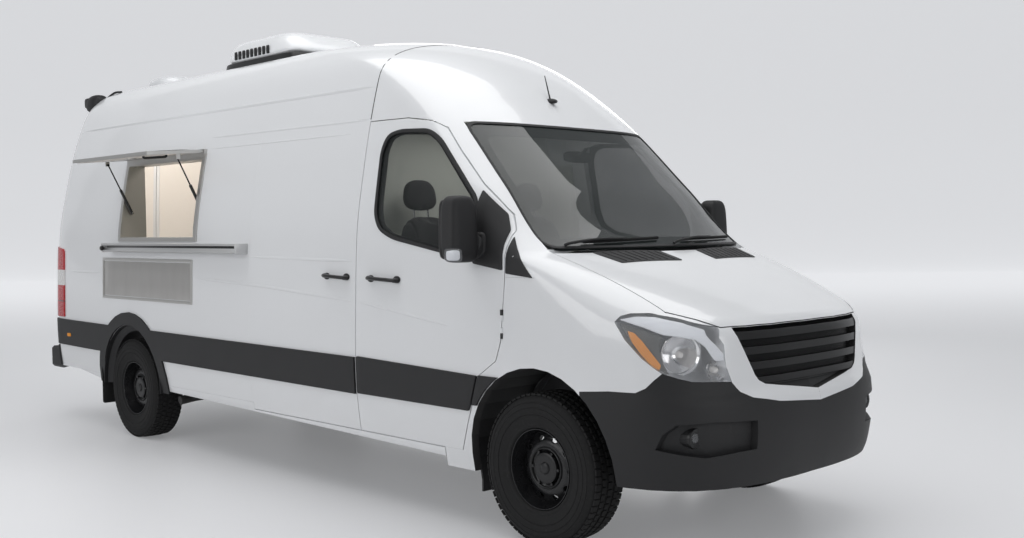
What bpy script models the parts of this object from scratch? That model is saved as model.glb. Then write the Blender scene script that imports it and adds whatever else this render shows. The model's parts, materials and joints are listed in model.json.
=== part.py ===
"""High-roof cargo van fitted out for serving through a side hatch.

Lengths are metres. Everything is drawn with X forward from the front axle, Y to the
van's left and Z up from the ground, under one empty that moves the origin to the top
of the load floor above the rear axle.
"""

import math

import bmesh
import bpy
from mathutils import Matrix, Vector

# Driving dimensions of the vehicle
WHEELBASE = 4.325
FRONT_OVERHANG = 1.0
REAR_FACE = 1.535
BODY_HALF_WIDTH = 0.988
ROOF_HEIGHT = 2.80
LOAD_FLOOR_HEIGHT = 0.70
FLOOR_PLATE_RISE = 0.004
BODY_BOTTOM = 0.24
SILL_HEIGHT = 0.405
WALL = 0.05
GLASS = 0.006
SEAM = 0.0003
DOOR_GAP = 0.005
SEAT_GAP = 0.0003

# Wheels
TYRE_RADIUS = 0.381
TYRE_WIDTH = 0.235
RIM_RADIUS = 0.215
TRACK_HALF = 0.855
ARCH_RADIUS = 0.485
REAR_ARCH_RADIUS = 0.47
FLARE_WIDTH = 0.095
HUB_RADIUS = 0.075
SPINDLE_RADIUS = 0.0741

# Places along the body
SEAM_B_X = -1.45
SLIDING_DOOR_REAR_X = -2.61
DOOR_REAR_X = SEAM_B_X + DOOR_GAP
PARTITION_X = -1.62
CREASE_HEIGHT = 2.41
DOOR_TOP = 2.20
BONNET_FRONT_HEIGHT = 1.107
WINDSCREEN_BASE = 1.462
WINDSCREEN_TOP = 2.155
BONNET_REAR_X = -0.01
BONNET_REAR_GAP = 0.016
BONNET_CORNER_ROOM = 0.03
BONNET_EDGE = 0.0025
BONNET_HINGE = (0.0, 0.0, 1.425)

# Serving hatch in the right wall
HATCH_FRONT_X = -3.30
HATCH_REAR_X = -4.50
HATCH_SILL = 1.505
HATCH_TOP = 2.12
FLAP_DEPTH = 0.42

WHITE = (0.86, 0.87, 0.88, 1)
BLACK = (0.02, 0.02, 0.022, 1)
STEEL = (0.55, 0.55, 0.54, 1)

ORIGIN_SHIFT = Vector((WHEELBASE, 0, -LOAD_FLOOR_HEIGHT))


def clear_scene():
    for obj in list(bpy.data.objects):
        bpy.data.objects.remove(obj, do_unlink=True)


def make_collections():
    parts = bpy.data.collections.new("high_roof_cargo_van")
    cutters = bpy.data.collections.new("cutters")
    for group in (parts, cutters):
        bpy.context.scene.collection.children.link(group)
    return parts, cutters


clear_scene()
PARTS, CUTTERS = make_collections()
ORIGIN = bpy.data.objects.new("van_origin", None)
ORIGIN.location = ORIGIN_SHIFT
PARTS.objects.link(ORIGIN)
MATERIALS = {}


def material(name, colour, roughness=0.5, metallic=0.0):
    if name in MATERIALS:
        return MATERIALS[name]
    made = bpy.data.materials.new(name)
    made.use_nodes = True
    shader = made.node_tree.nodes["Principled BSDF"]
    shader.inputs["Base Color"].default_value = colour
    shader.inputs["Roughness"].default_value = roughness
    shader.inputs["Metallic"].default_value = metallic
    made.diffuse_color = colour
    MATERIALS[name] = made
    return made


def joint_empty(name, place, parent=None):
    """An empty on a joint's axis. The pieces under it are drawn in the van's own frame."""
    empty = bpy.data.objects.new(name, None)
    PARTS.objects.link(empty)
    empty["place"] = place
    empty.parent = parent or ORIGIN
    empty.location = Vector(place) - (Vector(parent["place"]) if parent else Vector())
    return empty


def add_part(name, mesh, look, parent=None):
    """An object for one piece, under the van's origin or under its joint's empty."""
    obj = bpy.data.objects.new(name, mesh)
    PARTS.objects.link(obj)
    obj.parent = parent or ORIGIN
    obj.location = -Vector(parent["place"]) if parent else Vector()
    mesh.materials.clear()
    mesh.materials.append(material(*look))
    return obj


def add_cutter(name, mesh):
    obj = bpy.data.objects.new(name, mesh)
    CUTTERS.objects.link(obj)
    obj.parent = ORIGIN
    obj.hide_render = True
    obj.display_type = "WIRE"
    return obj


def apply_modifiers(obj):
    """The object's evaluated mesh takes the place of its own."""
    graph = bpy.context.evaluated_depsgraph_get()
    mesh = bpy.data.meshes.new_from_object(obj.evaluated_get(graph))
    old = obj.data
    obj.modifiers.clear()
    obj.data = mesh
    if old.users == 0:
        bpy.data.meshes.remove(old)
    return obj


def combine(obj, other, operation):
    """One Boolean modifier on obj, with other as its operand."""
    step = obj.modifiers.new(operation.lower(), "BOOLEAN")
    step.operation = operation
    step.solver = "EXACT"
    step.object = other


def cut(obj, *others):
    for other in others:
        combine(obj, other, "DIFFERENCE")
    return obj


def keep(obj, *others):
    for other in others:
        combine(obj, other, "INTERSECT")
    return obj


def join(obj, *others):
    for other in others:
        combine(obj, other, "UNION")
    return obj


def mesh_from(bm, name):
    bmesh.ops.recalc_face_normals(bm, faces=bm.faces)
    mesh = bpy.data.meshes.new(name)
    bm.to_mesh(mesh)
    bm.free()
    return mesh


AXIS_FRAMES = {
    "X": lambda u, v, w: (w, u, v),
    "Y": lambda u, v, w: (u, w, v),
    "Z": lambda u, v, w: (u, v, w),
}


def prism_mesh(name, outline, axis, low, high):
    """A flat outline extruded along an axis. Along X it is (y, z), along Y (x, z), along Z (x, y)."""
    place = AXIS_FRAMES[axis]
    bm = bmesh.new()
    face = bm.faces.new([bm.verts.new(place(u, v, low)) for u, v in outline])
    pulled = bmesh.ops.extrude_face_region(bm, geom=[face])["geom"]
    moved = [part for part in pulled if isinstance(part, bmesh.types.BMVert)]
    bmesh.ops.translate(bm, verts=moved, vec=Vector(place(0, 0, high - low)))
    return mesh_from(bm, name)


def box_mesh(name, low, high, bevel=0.0):
    bm = bmesh.new()
    bmesh.ops.create_cube(bm, size=1)
    size = [b - a for a, b in zip(low, high)]
    bmesh.ops.scale(bm, vec=size, verts=bm.verts)
    bmesh.ops.translate(bm, vec=[(a + b) / 2 for a, b in zip(low, high)], verts=bm.verts)
    if bevel:
        bmesh.ops.bevel(bm, geom=bm.edges[:], offset=bevel, segments=1, affect="EDGES")
    return mesh_from(bm, name)


def rod_mesh(name, start, end, radius, segments=12):
    """A closed cylinder between two points."""
    start, end = Vector(start), Vector(end)
    along = end - start
    bm = bmesh.new()
    sizes = {"radius1": radius, "radius2": radius, "depth": along.length}
    bmesh.ops.create_cone(bm, cap_ends=True, segments=segments, **sizes)
    turn = Vector((0, 0, 1)).rotation_difference(along).to_matrix().to_4x4()
    bmesh.ops.transform(bm, matrix=Matrix.Translation((start + end) / 2) @ turn, verts=bm.verts)
    return mesh_from(bm, name)


def turned_mesh(name, profile, steps):
    """A closed (radius, offset) profile turned about the Y axis."""
    bm = bmesh.new()
    verts = [bm.verts.new((radius, offset, 0)) for radius, offset in profile]
    edges = [bm.edges.new((a, b)) for a, b in zip(verts, verts[1:] + verts[:1])]
    bmesh.ops.spin(bm, geom=verts + edges, cent=(0, 0, 0), axis=(0, 1, 0), angle=math.tau, steps=steps)
    bmesh.ops.remove_doubles(bm, verts=bm.verts, dist=0.00001)
    return mesh_from(bm, name)


def tube_mesh(name, points, radius, resolution=2):
    """A bent tube along a smooth route, with closed ends."""
    curve = bpy.data.curves.new(name, "CURVE")
    curve.dimensions = "3D"
    curve.bevel_depth = radius
    curve.bevel_resolution = resolution
    curve.use_fill_caps = True
    spline = curve.splines.new("POLY")
    spline.points.add(len(points) - 1)
    for point, place in zip(spline.points, points):
        point.co = (*place, 1)
    holder = bpy.data.objects.new(name, curve)
    CUTTERS.objects.link(holder)
    mesh = bpy.data.meshes.new_from_object(holder.evaluated_get(bpy.context.evaluated_depsgraph_get()))
    bpy.data.objects.remove(holder)
    bm = bmesh.new()
    bm.from_mesh(mesh)
    bmesh.ops.remove_doubles(bm, verts=bm.verts, dist=0.00001)
    return mesh_from(bm, name)


def mirrored(points):
    """The same outline on the other side of the centre plane."""
    return [(-y, z) for y, z in reversed(points)]


def grown(outline, by):
    """An outline with every edge moved outwards by a distance."""
    area = sum(a[0] * b[1] - b[0] * a[1] for a, b in zip(outline, outline[1:] + outline[:1]))
    sign = 1 if area > 0 else -1
    moved = []
    count = len(outline)
    for i in range(count):
        before, here, after = (Vector(outline[j % count]) for j in (i - 1, i, i + 1))
        first, second = (here - before).normalized(), (after - here).normalized()
        normal_a = Vector((first.y, -first.x)) * sign
        normal_b = Vector((second.y, -second.x)) * sign
        middle = (normal_a + normal_b).normalized()
        moved.append(tuple(here + middle * (by / max(0.35, middle.dot(normal_a)))))
    return moved


def arc(centre, radius, start, end, steps):
    """Points on a circle, from one angle to another in degrees."""
    angles = [math.radians(start + (end - start) * i / steps) for i in range(steps + 1)]
    return [(centre[0] + radius * math.cos(a), centre[1] + radius * math.sin(a)) for a in angles]


def smooth(table, at, column=1):
    """A monotone cubic through the table's rows, read at one height."""
    rows = sorted(table)
    if at <= rows[0][0]:
        return rows[0][column]
    if at >= rows[-1][0]:
        return rows[-1][column]
    xs = [row[0] for row in rows]
    ys = [row[column] for row in rows]
    slopes = [(ys[i + 1] - ys[i]) / (xs[i + 1] - xs[i]) for i in range(len(xs) - 1)]
    i = max(k for k in range(len(xs) - 1) if xs[k] <= at)

    def tangent(k):
        if k in (0, len(xs) - 1):
            return slopes[min(k, len(slopes) - 1)]
        left, right = slopes[k - 1], slopes[k]
        return 0 if left * right <= 0 else 2 * left * right / (left + right)

    width = xs[i + 1] - xs[i]
    t = (at - xs[i]) / width
    blend = (2 * t**3 - 3 * t**2 + 1, t**3 - 2 * t**2 + t, 3 * t**2 - 2 * t**3, t**3 - t**2)
    start = blend[0] * ys[i] + blend[1] * width * tangent(i)
    return start + blend[2] * ys[i + 1] + blend[3] * width * tangent(i + 1)


# The body's outer skin as level outlines: height, half width of the flanks
FLANK = (
    (BODY_BOTTOM, 0.925), (0.41, 0.957), (0.62, 0.981), (0.83, BODY_HALF_WIDTH), (1.16, 0.981),
    (1.52, 0.966), (1.98, 0.896), (2.22, 0.845), (2.51, 0.767), (2.62, 0.72), (2.70, 0.65), (2.75, 0.56),
    (2.78, 0.44), (2.795, 0.28), (ROOF_HEIGHT, 0.10),
)
# Height, foremost point on the centre plane, length of the rounding behind it, its squareness
NOSE = (
    (BODY_BOTTOM, 0.90, 0.70, 3.0), (0.45, 0.985, 0.74, 3.0), (0.62, FRONT_OVERHANG, 0.75, 3.0),
    (0.75, 0.990, 0.75, 3.0), (0.83, 0.955, 0.74, 3.0), (0.95, 0.942, 0.74, 2.9), (1.06, 0.928, 0.74, 2.9),
    (1.12, 0.893, 0.72, 2.8), (1.18, 0.79, 0.66, 2.8), (1.25, 0.645, 0.60, 2.8), (1.33, 0.455, 0.51, 2.7),
    (1.40, 0.26, 0.42, 2.6), (1.46, 0.095, 0.39, 2.6), (1.80, -0.27, 0.38, 2.8), (2.15, -0.635, 0.38, 3.2),
    (2.31, -0.795, 0.42, 3.0), (2.52, -1.03, 0.55, 2.6), (2.66, -1.27, 0.70, 2.4), (2.74, -1.55, 0.9, 2.2),
    (2.78, -1.95, 1.0, 2.0), (2.795, -2.35, 1.0, 2.0), (ROOF_HEIGHT, -2.85, 1.0, 2.0),
)
# Height, rearmost point on the centre plane, length of the rounding ahead of it
TAIL = (
    (BODY_BOTTOM, -5.86, 0.26), (1.50, -5.85, 0.27), (2.13, -5.81, 0.30), (2.51, -5.76, 0.36),
    (2.66, -5.71, 0.42), (2.74, -5.65, 0.5), (2.78, -5.55, 0.6), (2.795, -5.40, 0.7),
    (ROOF_HEIGHT, -5.15, 0.7),
)
LEVELS = (
    BODY_BOTTOM, 0.41, 0.62, 0.75, 0.83, 0.95, 1.06, 1.12, 1.18, 1.25, 1.33, 1.40, 1.46, 1.60, 1.80, 1.98,
    2.15, 2.31, 2.42, 2.52, 2.60, 2.66, 2.71, 2.74, 2.765, 2.78, 2.79, ROOF_HEIGHT,
)
NOSE_STEPS = 9
FLANK_STEPS = 5
TAIL_STEPS = 6
TAIL_SQUARENESS = 4.2
REAR_TAPER = 0.035
TAPER_START = -4.3


def rear_taper(x):
    """How much narrower the flanks are towards the tail."""
    reach = max(0.0, TAPER_START - x) / (TAPER_START + REAR_FACE + WHEELBASE)
    return 1 - REAR_TAPER * reach * reach


def outline_half(height):
    """The right half of the body's outline at one height, from nose to tail."""
    width = smooth(FLANK, height)
    nose, rounding, square = (smooth(NOSE, height, k) for k in (1, 2, 3))
    tail, tail_rounding = (smooth(TAIL, height, k) for k in (1, 2))
    points = []
    for i in range(NOSE_STEPS + 1):
        angle = math.pi / 2 * i / NOSE_STEPS
        x = nose - rounding + rounding * math.cos(angle) ** (2 / square)
        points.append((x, width * math.sin(angle) ** (2 / square)))
    start, end = nose - rounding, tail + tail_rounding
    for i in range(1, FLANK_STEPS + 1):
        x = start + (end - start) * i / FLANK_STEPS
        points.append((x, width))
    for i in range(1, TAIL_STEPS + 1):
        angle = math.pi / 2 * (1 - i / TAIL_STEPS)
        x = end - tail_rounding * math.cos(angle) ** (2 / TAIL_SQUARENESS)
        points.append((x, width * math.sin(angle) ** (2 / TAIL_SQUARENESS)))
    return [(x, -y * rear_taper(x)) for x, y in points]


def hull_mesh(name, inset=0.0, drop=0.0):
    """The closed body solid, lofted between level outlines, drawn in by an inset and run on downwards."""
    bm = bmesh.new()
    rings = []
    for height in LEVELS:
        right = outline_half(height)
        left = [(x, -y) for x, y in reversed(right[1:-1])]
        rings.append([bm.verts.new((x, y, height)) for x, y in right + left])
    for lower, upper in zip(rings, rings[1:]):
        for i in range(len(lower)):
            j = (i + 1) % len(lower)
            bm.faces.new((lower[i], lower[j], upper[j], upper[i]))
    bmesh.ops.recalc_face_normals(bm, faces=bm.faces)
    bm.normal_update()
    for vert, normal in [(v, v.normal.copy()) for ring in rings for v in ring]:
        vert.co -= normal * inset
    for vert in rings[0]:
        vert.co.z = BODY_BOTTOM
    foot = rings[0]
    if drop:
        foot = [bm.verts.new((v.co.x, v.co.y, BODY_BOTTOM - drop)) for v in rings[0]]
        for i in range(len(foot)):
            j = (i + 1) % len(foot)
            bm.faces.new((foot[i], foot[j], rings[0][j], rings[0][i]))
    half = len(foot) // 2
    for ring in (foot, rings[-1]):
        bm.faces.new((ring[0], ring[1], ring[-1]))
        for i in range(2, half):
            bm.faces.new((ring[i - 1], ring[i], ring[-i], ring[1 - i]))
        bm.faces.new((ring[half - 1], ring[half], ring[half + 1]))
    bmesh.ops.triangulate(bm, faces=bm.faces, quad_method="FIXED")
    return mesh_from(bm, name)


def make_shell(name, outer, inner):
    """The space between two hull insets, open at the bottom."""
    solid = add_cutter(name, hull_mesh(name, outer))
    hollow = add_cutter(name + "_hollow", hull_mesh(name + "_hollow", inner, 0.05))
    cut(solid, hollow)
    return apply_modifiers(solid)


SHELL = make_shell("body_shell", 0.0, WALL)
PANE = make_shell("pane_shell", 0.004, 0.004 + GLASS)
CABIN = add_cutter("cabin_space", hull_mesh("cabin_space", WALL + SEAT_GAP, 0.05))
CABIN_ALL = add_cutter("underbody_space", hull_mesh("underbody_space", WALL + SEAT_GAP, 0.30))
LAMP_SHELL = make_shell("lamp_shell", 0.001, 0.12)

WHITE_PAINT = ("white paint", WHITE, 0.25)
BLACK_PLASTIC = ("black plastic", BLACK, 0.55)
STAINLESS = ("stainless steel", STEEL, 0.3, 0.9)
GLASS_LOOK = ("tinted glass", (0.03, 0.04, 0.04, 1), 0.05)
LAMP_LOOK = ("clear lamp", (0.7, 0.72, 0.74, 1), 0.1)
RED_LAMP = ("red lamp", (0.5, 0.02, 0.02, 1), 0.15)
RUBBER = ("tyre rubber", (0.025, 0.025, 0.025, 1), 0.85)
BLACK_STEEL = ("black steel", (0.015, 0.015, 0.015, 1), 0.4, 0.3)
CHASSIS = ("chassis paint", (0.05, 0.05, 0.055, 1), 0.6, 0.2)
CLOTH = ("seat cloth", (0.03, 0.03, 0.035, 1), 0.9)
TRIM = ("cab trim", (0.06, 0.06, 0.065, 1), 0.7)
LINING = ("wall lining", (0.72, 0.74, 0.72, 1), 0.5)

OUTSIDE = 1.3
SIDES = {"right": -1, "left": 1}


def side_prism(name, outline, side, inner=0.35):
    """A side-view outline driven through one flank."""
    low, high = (-OUTSIDE, -inner) if side == "right" else (inner, OUTSIDE)
    return add_cutter(name, prism_mesh(name, outline, "Y", low, high))


def cutter_box(name, low, high):
    return add_cutter(name, box_mesh(name, low, high))


def cutter_rod(name, start, end, radius, segments=12):
    return add_cutter(name, rod_mesh(name, start, end, radius, segments))


def cutter_prism(name, outline, axis, low, high):
    return add_cutter(name, prism_mesh(name, outline, axis, low, high))


def box_ends(low, high, sign):
    """The corners of a box given on the left side, on either side of the centre plane."""
    y0, y1 = sorted((sign * low[1], sign * high[1]))
    return (low[0], y0, low[2]), (high[0], y1, high[2])


def panel(name, source, look, keepers, cutters=(), parent=None):
    """A body panel: the shell kept inside some outlines and cut by others."""
    obj = add_part(name, source.data.copy(), look, parent)
    keep(obj, *keepers)
    cut(obj, *cutters)
    return obj


# Door hinges: the axis's place, and each barrel's split height with the side of it on the door
FRONT_HINGE = (-0.2245, 0.982)
FRONT_SPLITS = ((1.135, -1), (1.045, 1))
FRONT_BARREL = 0.010
REAR_HINGE = (-5.835, 0.795)
REAR_SPLITS = ((0.92, -1), (1.58, -1))
REAR_BARREL = 0.014
BARREL_HALF = 0.028
BARREL_ROOM = 0.0006


def barrel_half(name, place, radius, split, way, room=0.0):
    """One half of a hinge barrel: the part of it above or below its split."""
    near, far = split + way * (SEAT_GAP - room) / 2, split + way * (BARREL_HALF + room)
    low, high = min(near, far), max(near, far)
    return add_cutter(name, rod_mesh(name, (*place, low), (*place, high), radius + room))


def hinge_halves(name, place, radius, splits, own, room=0.0):
    """The halves that one side of a hinge carries, own being 1 for the door and -1 for the body."""
    halves = []
    for i, (height, way) in enumerate(splits):
        halves.append(barrel_half(f"{name}_{i}", place, radius, height, way * own, room))
    return halves


# Side-view outlines, (x, z)
FRONT_DOOR = [
    (DOOR_REAR_X, SILL_HEIGHT), (DOOR_REAR_X, DOOR_TOP), (-1.10, 2.195), (-0.90, 2.165), (-0.79, 2.12),
    (-0.68, 2.01), (-0.46, 1.80), (-0.27, 1.64), (-0.215, 1.56), (-0.21, 1.30), (-0.235, 1.00),
    (-0.27, 0.90), (-0.40, 0.815), (-0.455, 0.66), (-0.52, 0.50), (-0.56, SILL_HEIGHT),
]
FRONT_WINDOW = [
    (-1.29, 1.66), (-1.30, 2.02), (-1.26, 2.11), (-1.15, 2.13), (-0.90, 2.115), (-0.80, 2.06),
    (-0.475, 1.745), (-0.45, 1.70), (-0.45, 1.405), (-0.60, 1.435), (-1.12, 1.525), (-1.24, 1.575),
]
SLIDING_DOOR_TOP = DOOR_TOP + 0.02
SLIDING_DOOR = [
    (SLIDING_DOOR_REAR_X, SILL_HEIGHT), (SLIDING_DOOR_REAR_X, SLIDING_DOOR_TOP),
    (SEAM_B_X, SLIDING_DOOR_TOP), (SEAM_B_X, SILL_HEIGHT),
]
ARCH_CENTRE_HEIGHT = TYRE_RADIUS + 0.02


def arch_outline(centre_x, radius, foot):
    """A half circle over a wheel with straight legs down to a height."""
    legs = [(centre_x + radius, foot), (centre_x - radius, foot)]
    return arc((centre_x, ARCH_CENTRE_HEIGHT), radius, 180, 0, 16) + legs


FRONT_ARCH = arch_outline(0.0, ARCH_RADIUS, 0.1)
REAR_ARCH = arch_outline(-WHEELBASE, REAR_ARCH_RADIUS, 0.1)
HEADLAMP = [
    (0.482, 1.135), (0.498, 1.160), (0.535, 1.174), (0.605, 1.173), (0.69, 1.150), (0.825, 1.107),
    (0.93, 0.857), (0.795, 0.869), (0.699, 0.906), (0.618, 0.972), (0.543, 1.055),
]
BUMPER_EDGE = [
    (0.30, 0.80), (0.47, 0.816), (0.60, 0.817), (0.641, 0.839), (0.699, 0.906), (0.795, 0.869),
    (0.93, 0.857),
]
BUMPER_BOTTOM = 0.37
CAB_FOOT = 1.327
COWL_SEAM = 1.457


def build_cab_shell():
    """Pillars, cant rails and the domed roof front, ahead of the body seam."""
    seam, high = SEAM_B_X + SEAM, ROOF_HEIGHT + 0.1
    cowl = [(0.3, COWL_SEAM), (0.0, COWL_SEAM), (0.0, CAB_FOOT)]
    region = cowl + [(seam, CAB_FOOT), (seam, high), (0.3, high)]
    front = add_cutter("cab_region", prism_mesh("cab_region", region, "Y", -OUTSIDE, OUTSIDE))
    doors = [side_prism(f"cab_door_hole_{s}", grown(FRONT_DOOR, DOOR_GAP), s) for s in SIDES]
    holes = doors + [windscreen_cutter(0.0), bonnet_cutter(DOOR_GAP)]
    return panel("cab_shell", SHELL, WHITE_PAINT, [front], holes)


WINDSCREEN_BASE_HALF = 0.832
WINDSCREEN_TOP_HALF = 0.752


def windscreen_outline(by):
    """The windscreen as seen from ahead, (y, z)."""
    low, high = WINDSCREEN_BASE_HALF, WINDSCREEN_TOP_HALF
    base = [(-low, WINDSCREEN_BASE), (low, WINDSCREEN_BASE)]
    return grown(base + [(high, WINDSCREEN_TOP), (-high, WINDSCREEN_TOP)], by)


def windscreen_cutter(by):
    name = f"windscreen_hole_{round(by * 10000)}"
    return add_cutter(name, prism_mesh(name, windscreen_outline(by), "X", -1.02, 0.6))


def build_windscreen():
    return panel("windscreen", PANE, GLASS_LOOK, [windscreen_cutter(-SEAM)])


def lamp_pocket(name, side):
    """The room that a headlamp takes in the panels round it."""
    pocket = side_prism(name, grown(HEADLAMP, SEAM), side, LAMP_INNER)
    return apply_modifiers(cut(pocket, surround_cutter(0.0)))


# The hidden flange behind the bumper that carries the grille's frame, (x, z)
FLANGE = [
    (0.50, 0.78), (0.50, 0.86), (0.60, 0.86), (0.641, 0.834), (0.699, 0.899), (0.795, 0.862), (0.93, 0.850),
    (1.0, 0.850), (1.0, 0.80), (0.70, 0.80),
]
FLANGE_FACE = 0.040
FLANGE_BACK = 0.075


def flange_space(side, by):
    space = make_shell(f"flange_shell_{side}_{round(by * 10000)}", FLANGE_FACE - by, FLANGE_BACK + by)
    return keep(space, side_prism(f"flange_{side}_{round(by * 10000)}", grown(FLANGE, by), side, 0.50 - by))


def build_wings():
    """Front wings round arch, lamp and bumper, each with half of the grille's frame."""
    for side, sign in SIDES.items():
        region = [
            (-0.205, CAB_FOOT - 2 * SEAM), (SEAM, CAB_FOOT - 2 * SEAM), (SEAM, COWL_SEAM - 2 * SEAM),
            (0.30, COWL_SEAM - 2 * SEAM), (0.9, 1.30), (OUTSIDE, 1.20), (OUTSIDE, BUMPER_EDGE[-1][1] + SEAM),
        ]
        region += [(x, z + SEAM) for x, z in reversed(BUMPER_EDGE)]
        region += [(0.30, 0.30), (-0.70, 0.30), (-0.70, SILL_HEIGHT), (-0.56 + DOOR_GAP, SILL_HEIGHT)]
        region += [(x + DOOR_GAP, z) for x, z in reversed(FRONT_DOOR[10:15])]
        frame = add_cutter(f"grille_frame_{side}", surround_cutter(0.0).data.copy())
        half = box_ends((0.4, SEAM, 0.6), (OUTSIDE, 1.0, 1.3), sign)
        keep(frame, cutter_box(f"grille_frame_half_{side}", *half))
        area = side_prism(f"wing_region_{side}", region, side, SEAM)
        space = apply_modifiers(join(area, apply_modifiers(frame)))
        obj = panel(
            f"front_wing_{side}", SHELL, WHITE_PAINT, [space],
            [
                side_prism(f"wing_arch_{side}", FRONT_ARCH, side),
                lamp_pocket(f"wing_lamp_{side}", side),
                bonnet_cutter(DOOR_GAP), grille_cutter(SEAM),
            ],
        )
        join(obj, apply_modifiers(flange_space(side, 0.0)))
        place = (FRONT_HINGE[0], sign * FRONT_HINGE[1])
        cut(obj, *hinge_halves(f"wing_pocket_{side}", place, FRONT_BARREL, FRONT_SPLITS, 1, BARREL_ROOM))
        yield join(obj, *hinge_halves(f"wing_barrel_{side}", place, FRONT_BARREL, FRONT_SPLITS, -1))


BONNET_PLAN = [(-0.04, 0.83), (0.42, 0.79), (0.62, 0.772), (OUTSIDE, 0.772)]
BONNET_NOSE = [(0.86, 1.20), (0.765, 1.176), (0.605, BONNET_FRONT_HEIGHT)]
LAMP_INNER = 0.45


def bonnet_cutter(by):
    """The bonnet's space: its plan outline, above the line that it shares with lamps and grille."""
    name = f"bonnet_space_{round(by * 10000)}"
    top = WINDSCREEN_BASE - (0 if by else BONNET_REAR_GAP)
    rear = BONNET_REAR_X - (BONNET_CORNER_ROOM if by else 0)
    plan = [(max(x, rear), y + by) for x, y in BONNET_PLAN]
    front = [(y + by, z - by) for y, z in BONNET_NOSE]
    above = [(-1.0, 1.6), (1.0, 1.6)] + front + [(-y, z) for y, z in reversed(front)]
    space = add_cutter(name, prism_mesh(name, plan + [(x, -y) for x, y in reversed(plan)], "Z", 1.0, top))
    keep(space, add_cutter(name + "_nose", prism_mesh(name + "_nose", above, "X", -0.5, OUTSIDE + 0.1)))
    return apply_modifiers(space)


def build_bonnet(parent):
    right = [(x - BONNET_EDGE, y) for x, y in outline_half(WINDSCREEN_BASE - BONNET_REAR_GAP)]
    plan = right + [(x, -y) for x, y in right[-2:0:-1]]
    under_screen = cutter_prism("under_screen", plan, "Z", 1.2, 1.5)
    obj = panel("bonnet", SHELL, WHITE_PAINT, [bonnet_cutter(0.0)], [under_screen], parent)
    for side, sign in SIDES.items():
        lug = [
            (-0.009, 1.414), (-0.009, 1.434), (0.010, 1.434), (0.045, 1.412), (0.12, 1.415), (0.12, 1.392),
            (0.03, 1.392),
        ]
        join(obj, cutter_prism(f"bonnet_lug_{side}", lug, "Y", *sorted((sign * 0.578, sign * 0.592))))
        hole = (bonnet_pin(sign, 0.57), bonnet_pin(sign, 0.60))
        cut(obj, cutter_rod(f"bonnet_eye_{side}", *hole, PIN_RADIUS + PIN_ROOM))
    return obj


def both_halves(right):
    """A front-view outline from its right half, top to bottom."""
    return right + [(-y, z) for y, z in reversed(right) if y]


GRILLE = [(-0.55, 1.10), (-0.545, 1.07), (-0.46, 0.88), (-0.44, 0.855), (-0.40, 0.835), (0.0, 0.778)]
SURROUND = [
    (-0.62, 1.16), (-0.62, 0.93), (-0.60, 0.857), (-0.565, 0.812), (-0.505, 0.782), (-0.34, 0.752),
    (0.0, 0.722),
]
GRILLE_DEPTH = 0.035
RIB_HALF_HEIGHTS = ((1.062, 0.022), (0.992, 0.022), (0.922, 0.022), (0.852, 0.020))
FOG_RECESS = [
    (0.683, 0.563), (0.719, 0.633), (0.765, 0.677), (0.882, 0.687), (0.95, 0.68), (1.05, 0.66), (1.05, 0.56),
    (0.93, 0.543), (0.851, 0.525),
]
FOG_DEPTH = 0.035
FOG_LAMP = (0.80, -0.775, 0.612)
FOG_RADIUS = 0.044


def front_prism(name, right_half, by):
    return add_cutter(name, prism_mesh(name, grown(both_halves(right_half), by), "X", 0.45, OUTSIDE))


def grille_cutter(by):
    return front_prism(f"grille_space_{round(by * 10000)}", GRILLE, by)


def surround_cutter(by):
    return front_prism(f"surround_space_{round(by * 10000)}", SURROUND, by)


def build_grille():
    """A sunk back plate with four wide ribs across it."""
    back = make_shell("grille_back", GRILLE_DEPTH, GRILLE_DEPTH + 0.03)
    front = make_shell("grille_ribs", 0.004, GRILLE_DEPTH + 0.01)
    obj = panel("grille", back, BLACK_PLASTIC, [grille_cutter(-SEAM)])
    bars = add_cutter("grille_bars", front.data.copy())
    ribs = []
    for i, (height, half) in enumerate(RIB_HALF_HEIGHTS):
        edge = half * 0.6
        lower = [(0.5, height - half), (OUTSIDE, height - edge)]
        section = lower + [(OUTSIDE, height + edge), (0.5, height + half)]
        ribs.append(cutter_prism(f"grille_rib_{i}", section, "Y", -0.7, 0.7))
    area = apply_modifiers(join(ribs[0], *ribs[1:]))
    keep(bars, area, grille_cutter(-SEAM))
    return join(obj, apply_modifiers(bars))


def build_front_bumper():
    region = [(0.30 + SEAM, BUMPER_BOTTOM), (OUTSIDE, BUMPER_BOTTOM), (OUTSIDE, BUMPER_EDGE[-1][1])]
    region += [(x, z) for x, z in reversed(BUMPER_EDGE[1:])] + [(0.30 + SEAM, BUMPER_EDGE[0][1])]
    space = add_cutter("bumper_region", prism_mesh("bumper_region", region, "Y", -OUTSIDE, OUTSIDE))
    arches = [side_prism(f"bumper_arch_{s}", FRONT_ARCH, s) for s in SIDES]
    lamps = [lamp_pocket(f"bumper_lamp_{s}", s) for s in SIDES]
    obj = panel("front_bumper", SHELL, BLACK_PLASTIC, [space], arches + lamps + [surround_cutter(SEAM)])
    floor = add_cutter("fog_floor", hull_mesh("fog_floor", FOG_DEPTH))
    for side, sign in SIDES.items():
        x, y, z = FOG_LAMP
        cut(obj, apply_modifiers(flange_space(side, SEAM)))
        recess = side_prism(f"fog_recess_{side}", FOG_RECESS, side, 0.50)
        cut(obj, apply_modifiers(cut(recess, floor)))
        back, face = (x - 0.05, -sign * y, z), (x + 0.012, -sign * y, z)
        join(obj, cutter_rod(f"fog_lamp_{side}", back, face, FOG_RADIUS, 14))
    return obj


def build_headlamps():
    for side in SIDES:
        name = f"headlamp_{side}"
        region = side_prism(name + "_region", grown(HEADLAMP, -SEAM), side, LAMP_INNER)
        yield panel(name, LAMP_SHELL, LAMP_LOOK, [region], [bonnet_cutter(DOOR_GAP), surround_cutter(SEAM)])


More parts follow.
